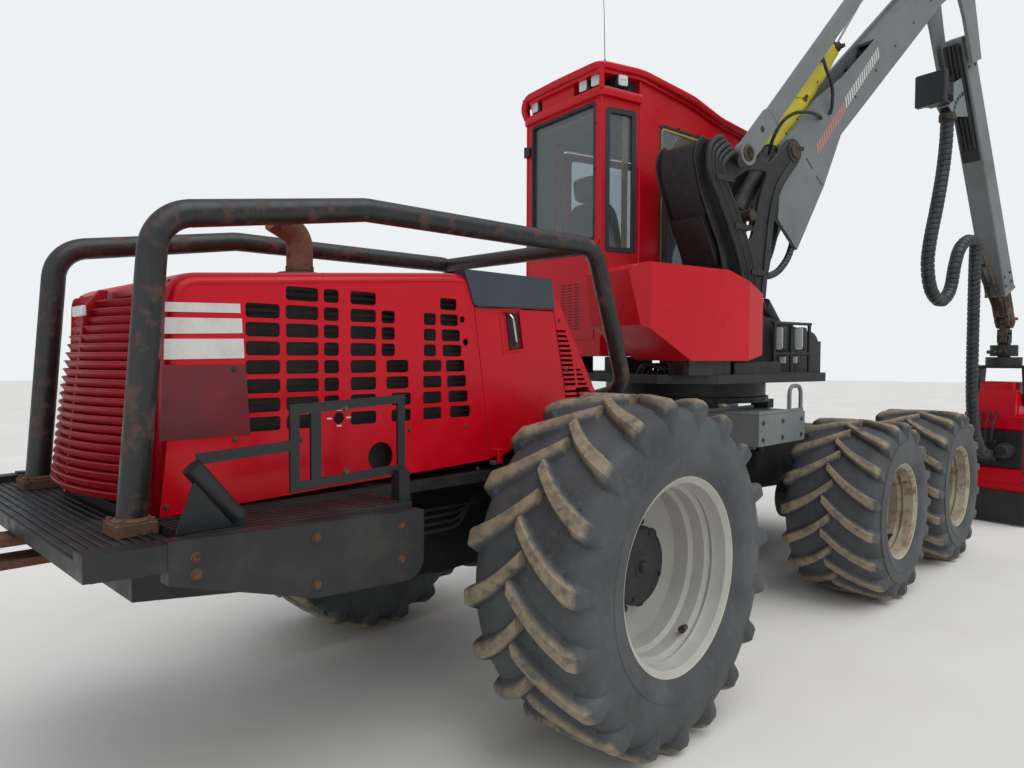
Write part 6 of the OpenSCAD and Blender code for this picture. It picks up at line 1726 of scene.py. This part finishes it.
class HARVESTER_OT_head(bpy.types.Operator):
    """Makes the head's housing, motor with hoses, bolts and marker, and the rotator's bolts and ports."""

    bl_idname = "harvester.head"
    bl_label = "Head"

    def execute(self, context):
        def hung(points):
            return craned(points + [TIP_PIN[0], 0, 0])

        back = -0.165
        # Housing between the lugs: a box that widens upwards
        rows = []
        for z, s, w in ((1.182, 0.105, 0.150), (1.19, 0.115, 0.158), (1.36, 0.125, 0.168),
                (1.50, 0.135, 0.172), (1.515, 0.130, 0.168), (1.525, 0.118, 0.156)):
            rows.append(np.column_stack([rounded(2 * s, 2 * w, 0.02, 3, (-0.02, 0)), np.full(16, z)]))
        shapes = [skin(np.array(rows), round_cols=True, ends=True)]
        shapes.append(slab([(back - 0.02, 1.04), (back - 0.035, 1.30), (back + 0.01, 1.44),
                (back + 0.06, 1.44), (back + 0.04, 1.04)], -0.20, 0.17, 0.006, "xz"))
        shapes.append(box((back - 0.045, -0.312, 0.455), (back + 0.005, 0.312, 0.60), 0.010))
        shapes.append(box((back - 0.03, -0.29, 1.02), (back + 0.005, 0.29, 1.165), 0.012))
        for s in (-1, 1):
            shapes.append(box((back + 0.02, s * 0.31 - 0.006, 0.27), (back + 0.30, s * 0.31 + 0.006, 0.42),
                    0.006))
            shapes.append(slab([(back + 0.01, 0.30), (back + 0.07, 0.30), (back + 0.12, 0.70),
                    (back + 0.12, 1.0), (back + 0.01, 1.0)], s * 0.305 - 0.006, s * 0.305 + 0.006, 0.002,
                    "xz"))
        piece("head_housing", shapes, "enamel", "head", place=hung)
        dark = [box((back - 0.018, -0.27, 0.61), (back + 0.006, 0.27, 1.005), 0.008),
            box((back - 0.03, -0.312, 0.014), (back + 0.05, 0.312, 0.36), 0.012)]
        dark.append(turned([(0.001, 0.0), (0.075, 0.0), (0.085, 0.01), (0.085, 0.10), (0.066, 0.11),
                (0.066, 0.16), (0.05, 0.17), (0.001, 0.17)], 32, (back - 0.012, -0.13, 0.80), (-1, 0, 0)))
        dark.append(box((back - 0.09, -0.04, 0.66), (back, 0.20, 0.90), 0.012))
        for w in (-0.02, 0.04, 0.10, 0.16):
            dark.append(pipe(0.001, 0.018, 0, 0.03, 16, (back - 0.09, w, 0.86), (-1, 0, 0)))
            dark.append(tube(hang([(back - 0.10, w, 0.86), (back - 0.14, w, 0.90),
                    (back - 0.13, w * 1.1, 1.05), (back - 0.045, w * 1.2, 1.16), (back, w * 0.9, 1.25)], 6),
                    0.012, 10))
        piece("head_motor", dark, "casting", "head", place=hung)
        bolts = [(back - 0.046, w, z) for w in (-0.29, 0.29) for z in (0.475, 0.58)]
        bolts += [(back - 0.031, w, z) for w in (-0.27, 0.27) for z in (1.05, 1.14)]
        ports = [hexes(bolts, (-1, 0, 0), 0.012, 0.01),
            hexes([(-0.05 + x, -0.3115, z) for x in (0.0, 0.12) for z in (0.30, 0.39)], (0, -1, 0), 0.011,
                0.009)]
        ports += [turned([(0.001, 0.265), (0.05, 0.265), (0.054, 0.26), (0.054, 0.2085), (0.001, 0.2085)],
                28, (0, 0, 1.33), (0, s, 0)) for s in (-1, 1)]
        piece("head_bolts", ports, "iron", "head", place=hung)
        lamp = [turned([(0.001, 0.0), (0.028, 0.0), (0.03, 0.004), (0.03, 0.012), (0.001, 0.014)], 24,
                (back - 0.0445, 0.18, 0.53), (-1, 0, 0))]
        piece("head_marker", lamp, "lens", "head", slot="red_paint", place=hung)
        # Rotator: bolt circles and ports
        ring_bolts = hexes([(0.145 * math.cos(a), 0.145 * math.sin(a), 1.741)
                for a in np.arange(12) * math.pi / 6], (0, 0, 1), 0.011, 0.012)
        piece("rotator_bolts", [ring_bolts], "iron", "rotator", place=hung)
        upper = [hexes([(0.105 * math.cos(a), 0.105 * math.sin(a), 1.881)
                for a in np.arange(8) * math.pi / 4 + 0.3], (0, 0, 1), 0.010, 0.011)]
        for k in range(5):
            a = 2.2 + k * 0.36
            x, y = 0.13 * math.cos(a), 0.13 * math.sin(a)
            upper.append(turned([(0.001, 0), (0.02, 0), (0.02, 0.03), (0.012, 0.034), (0.001, 0.034)], 12,
                    (x, y, 1.845), (math.cos(a), math.sin(a), 0)))
        piece("rotator_ports", upper, "iron", "cross_link", place=hung)
        return {"FINISHED"}


class HARVESTER_OT_front(bpy.types.Operator):
    """Makes the lamp cage ahead of the tank, the covers under it, and the steps' treads and bolts."""

    bl_idname = "harvester.front"
    bl_label = "Front"

    def execute(self, context):
        # Lamp cage on the deck's right edge: posts, rails and foot plate, two upright lamps, two square ones
        bars = [tube([(s, -0.76, 1.655), (s, -0.76, 2.03)], 0.013, 12) for s in (0.08, 0.28, 0.50)]
        bars += [tube([(0.06, -0.76, z), (0.52, -0.76, z)], 0.011, 12) for z in (1.80, 2.02)]
        bars += [box((0.05, -0.80, 1.655), (0.53, -0.72, 1.668), 0.003)]
        piece("cage_bars", bars, "chassis", "turntable", smooth=35, place=slewed)
        lamps = [slab(rounded(0.075, 0.17, 0.02, 3, (-0.755, 1.91)), s - 0.02, s + 0.03, 0.008, "yz")
            for s in (0.16, 0.40)]
        lamps += [box((s - 0.02, -0.79, 1.725), (s + 0.01, -0.73, 1.785), 0.006) for s in (0.20, 0.34)]
        piece("cage_lamp_bodies", lamps, "lamp_body", "turntable", place=slewed)
        lenses = [slab(rounded(0.065, 0.16, 0.018, 3, (-0.755, 1.91)), s - 0.024, s - 0.018, 0.002, "yz")
            for s in (0.16, 0.40)]
        lenses += [box((s - 0.024, -0.784, 1.731), (s - 0.018, -0.736, 1.779), 0.002) for s in (0.20, 0.34)]
        piece("cage_lamp_lenses", lenses, "lens", "turntable", place=slewed)
        # Covers between the deck and the tank, and a valve block with its hoses behind them
        low = [box(a, b, 0.006) for a, b in (((-0.46, -0.845, 1.655), (0.04, -0.70, 1.742)),
                ((-0.90, -0.80, 1.655), (-0.50, -0.66, 1.735)),
                ((-0.60, -0.60, 1.655), (-0.42, -0.30, 1.90)),
                ((-0.92, -0.30, 1.655), (-0.66, -0.08, 1.775)))]
        low += [tube(hang([(-0.93 + k * 0.05, -0.42, 1.66), (-0.95 + k * 0.05, -0.50, 1.72),
                (-0.90 + k * 0.05, -0.60, 1.70), (-0.86 + k * 0.05, -0.62, 1.66)], 6), 0.014, 10)
            for k in range(6)]
        piece("deck_covers", low, "casting", "turntable", place=slewed)
        # Step tread: grip holes in a plate with a turned-up edge
        treads, step_y = [], 0.755
        for side in (-1, 1):
            holes = [ring(0.013, 10, (1.67 + i * 0.055, side * step_y + (j - 2.5) * 0.055))
                for i in range(11) for j in range(6)]
            p, f = pierced(rounded(0.66, 0.36, 0.02, 3, (1.945, side * step_y)), holes, 0.004)
            treads.append((machine(p + [0, 0, 1.402]), f))
            treads += [moved(box((1.61, side * step_y + d, 1.40), (2.28, side * step_y + d + 0.006, 1.425),
                    0.002), machine) for d in (-0.188, 0.182)]
        piece("step_treads", treads, "crane", "front_frame")
        bolts = [hexes([(x, s * 0.951, z) for x in (1.66, 1.94, 2.23) for z in (1.24, 1.35)], (0, s, 0),
                0.011, 0.009) for s in (-1, 1)]
        piece("step_bolts", bolts, "iron", "front_frame", place=machine)
        return {"FINISHED"}


# Camera in the machine's frame: yaw, pitch and roll, place, focal length and width in pixels, sensor in mm
CAMERA_TURN = (0.781448507, -0.0354753, 0.00334343)
CAMERA_PLACE = (-2.82935979, -3.12929019, 1.76445993)
FOCAL, WIDTH, SENSOR = 737.2, 1024, 36


class HARVESTER_OT_stage(bpy.types.Operator):
    """Makes the camera, the floor, the soft lights and the world."""

    bl_idname = "harvester.stage"
    bl_label = "Stage"

    def execute(self, context):
        scene = context.scene
        scene.view_settings.view_transform = "Standard"
        yaw, pitch, roll = CAMERA_TURN
        forward = np.array([math.cos(yaw) * math.cos(pitch), math.sin(yaw) * math.cos(pitch),
                math.sin(pitch)])
        right = np.array([math.sin(yaw), -math.cos(yaw), 0])
        up = np.cross(right, forward)
        right, up = math.cos(roll) * right + math.sin(roll) * up, math.cos(roll) * up - math.sin(roll) * right
        lens = bpy.data.cameras.new("camera")
        lens.sensor_width, lens.lens = SENSOR, FOCAL * SENSOR / WIDTH
        lens.clip_end = 200
        camera = bpy.data.objects.new("camera", lens)
        turn = np.eye(4)
        turn[:3, 0], turn[:3, 1], turn[:3, 2] = right, up, -forward
        turn[:3, 3] = machine(CAMERA_PLACE)
        camera.matrix_world = Matrix(turn.tolist())
        scene.collection.objects.link(camera)
        scene.camera = camera
        material, tree, out = blank("painted_concrete_floor")
        where = add(tree, "TexCoord").outputs["Object"]
        tone = blend(tree, patches(tree, where, 0.6, 0.3, 0.8, 6), scene.harvester_colours.floor, "#D9D6D0")
        shader = add(tree, "BsdfPrincipled", {"Roughness": 0.8}, {"Base Color": tone})
        tree.links.new(shader.outputs[0], out.inputs[0])
        a = np.linspace(0, 2 * math.pi, 97)[:-1]
        r = np.array([0.0001, 4, 12, 60])
        grid = np.stack([r[:, None] * np.cos(a), r[:, None] * np.sin(a), np.zeros((4, 96)) - 0.0005], -1)
        mesh = bpy.data.meshes.new("floor")
        mesh.from_pydata(grid.reshape(-1, 3), [], quads(4, 96, round_cols=True).tolist())
        floor = bpy.data.objects.new("floor", mesh)
        mesh.materials.append(material)
        scene.collection.objects.link(floor)
        world = bpy.data.worlds.new("soft_sky")
        scene.world = world
        world.use_nodes = True
        tree = world.node_tree
        tree.nodes.clear()
        rays = add(tree, "LightPath")
        seen = add(tree, "Math", {"operation": "MAXIMUM"},
            {0: rays.outputs["Is Camera Ray"], 1: rays.outputs["Is Transmission Ray"]})
        sky = add(tree, "Background", {"Color": linear("#E6EBF0"), "Strength": 0.62})
        view = add(tree, "Background", {"Color": linear("#EEF1F3"), "Strength": 1.0})
        both = add(tree, "MixShader", {}, {0: seen.outputs[0], 1: sky.outputs[0], 2: view.outputs[0]})
        out = add(tree, "OutputWorld", {}, {0: both.outputs[0]})
        for name, angle, strength, tilt, turn_z in (("overcast", 60, 1.5, 28, 15),
                ("fill", 90, 0.5, 62, -65)):
            lamp = bpy.data.lights.new(name, "SUN")
            lamp.angle, lamp.energy = math.radians(angle), strength
            thing = bpy.data.objects.new(name, lamp)
            thing.rotation_euler = (math.radians(tilt), 0, math.radians(turn_z))
            scene.collection.objects.link(thing)
        return {"FINISHED"}


PARTS = [HARVESTER_OT_stage, HARVESTER_OT_finishes, HARVESTER_OT_tyres, HARVESTER_OT_rims,
    HARVESTER_OT_hood, HARVESTER_OT_hood_trim, HARVESTER_OT_service_door, HARVESTER_OT_grille,
    HARVESTER_OT_rear_trim, HARVESTER_OT_cab, HARVESTER_OT_work_lamps, HARVESTER_OT_cab_door,
    HARVESTER_OT_seat, HARVESTER_OT_lever, HARVESTER_OT_boom_trim, HARVESTER_OT_cylinders,
    HARVESTER_OT_stick_trim, HARVESTER_OT_hoses, HARVESTER_OT_head, HARVESTER_OT_front]


class HARVESTER_PT_panel(bpy.types.Panel):
    """Lists the pieces in the sidebar."""

    bl_idname = "HARVESTER_PT_panel"
    bl_label = "Harvester"
    bl_space_type = "VIEW_3D"
    bl_region_type = "UI"
    bl_category = "Harvester"

    def draw(self, context):
        for group in ("harvester_colours", "harvester_wheels", "harvester_body"):
            held = getattr(context.scene, group)
            for key in held.bl_rna.properties.keys():
                if key not in ("rna_type", "name"):
                    self.layout.prop(held, key)
        for part in PARTS:
            self.layout.operator(part.bl_idname)


GROUPS = {"harvester_colours": HarvesterColours, "harvester_wheels": HarvesterWheels,
    "harvester_body": HarvesterBody}


def register():
    for group in GROUPS.values():
        bpy.utils.register_class(group)
    for part in [*PARTS, HARVESTER_PT_panel]:
        bpy.utils.register_class(part)
    for name, group in GROUPS.items():
        setattr(bpy.types.Scene, name, bpy.props.PointerProperty(type=group))


def unregister():
    for name in GROUPS:
        delattr(bpy.types.Scene, name)
    for part in [HARVESTER_PT_panel, *reversed(PARTS)]:
        bpy.utils.unregister_class(part)
    for group in reversed(list(GROUPS.values())):
        bpy.utils.unregister_class(group)


def main():
    """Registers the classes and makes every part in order."""
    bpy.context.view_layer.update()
    register()
    for part in PARTS:
        family, name = part.bl_idname.split(".")
        if getattr(getattr(bpy.ops, family), name)() != {"FINISHED"}:
            raise RuntimeError(part.bl_idname + " didn't finish")


if __name__ == "__main__":
    main()
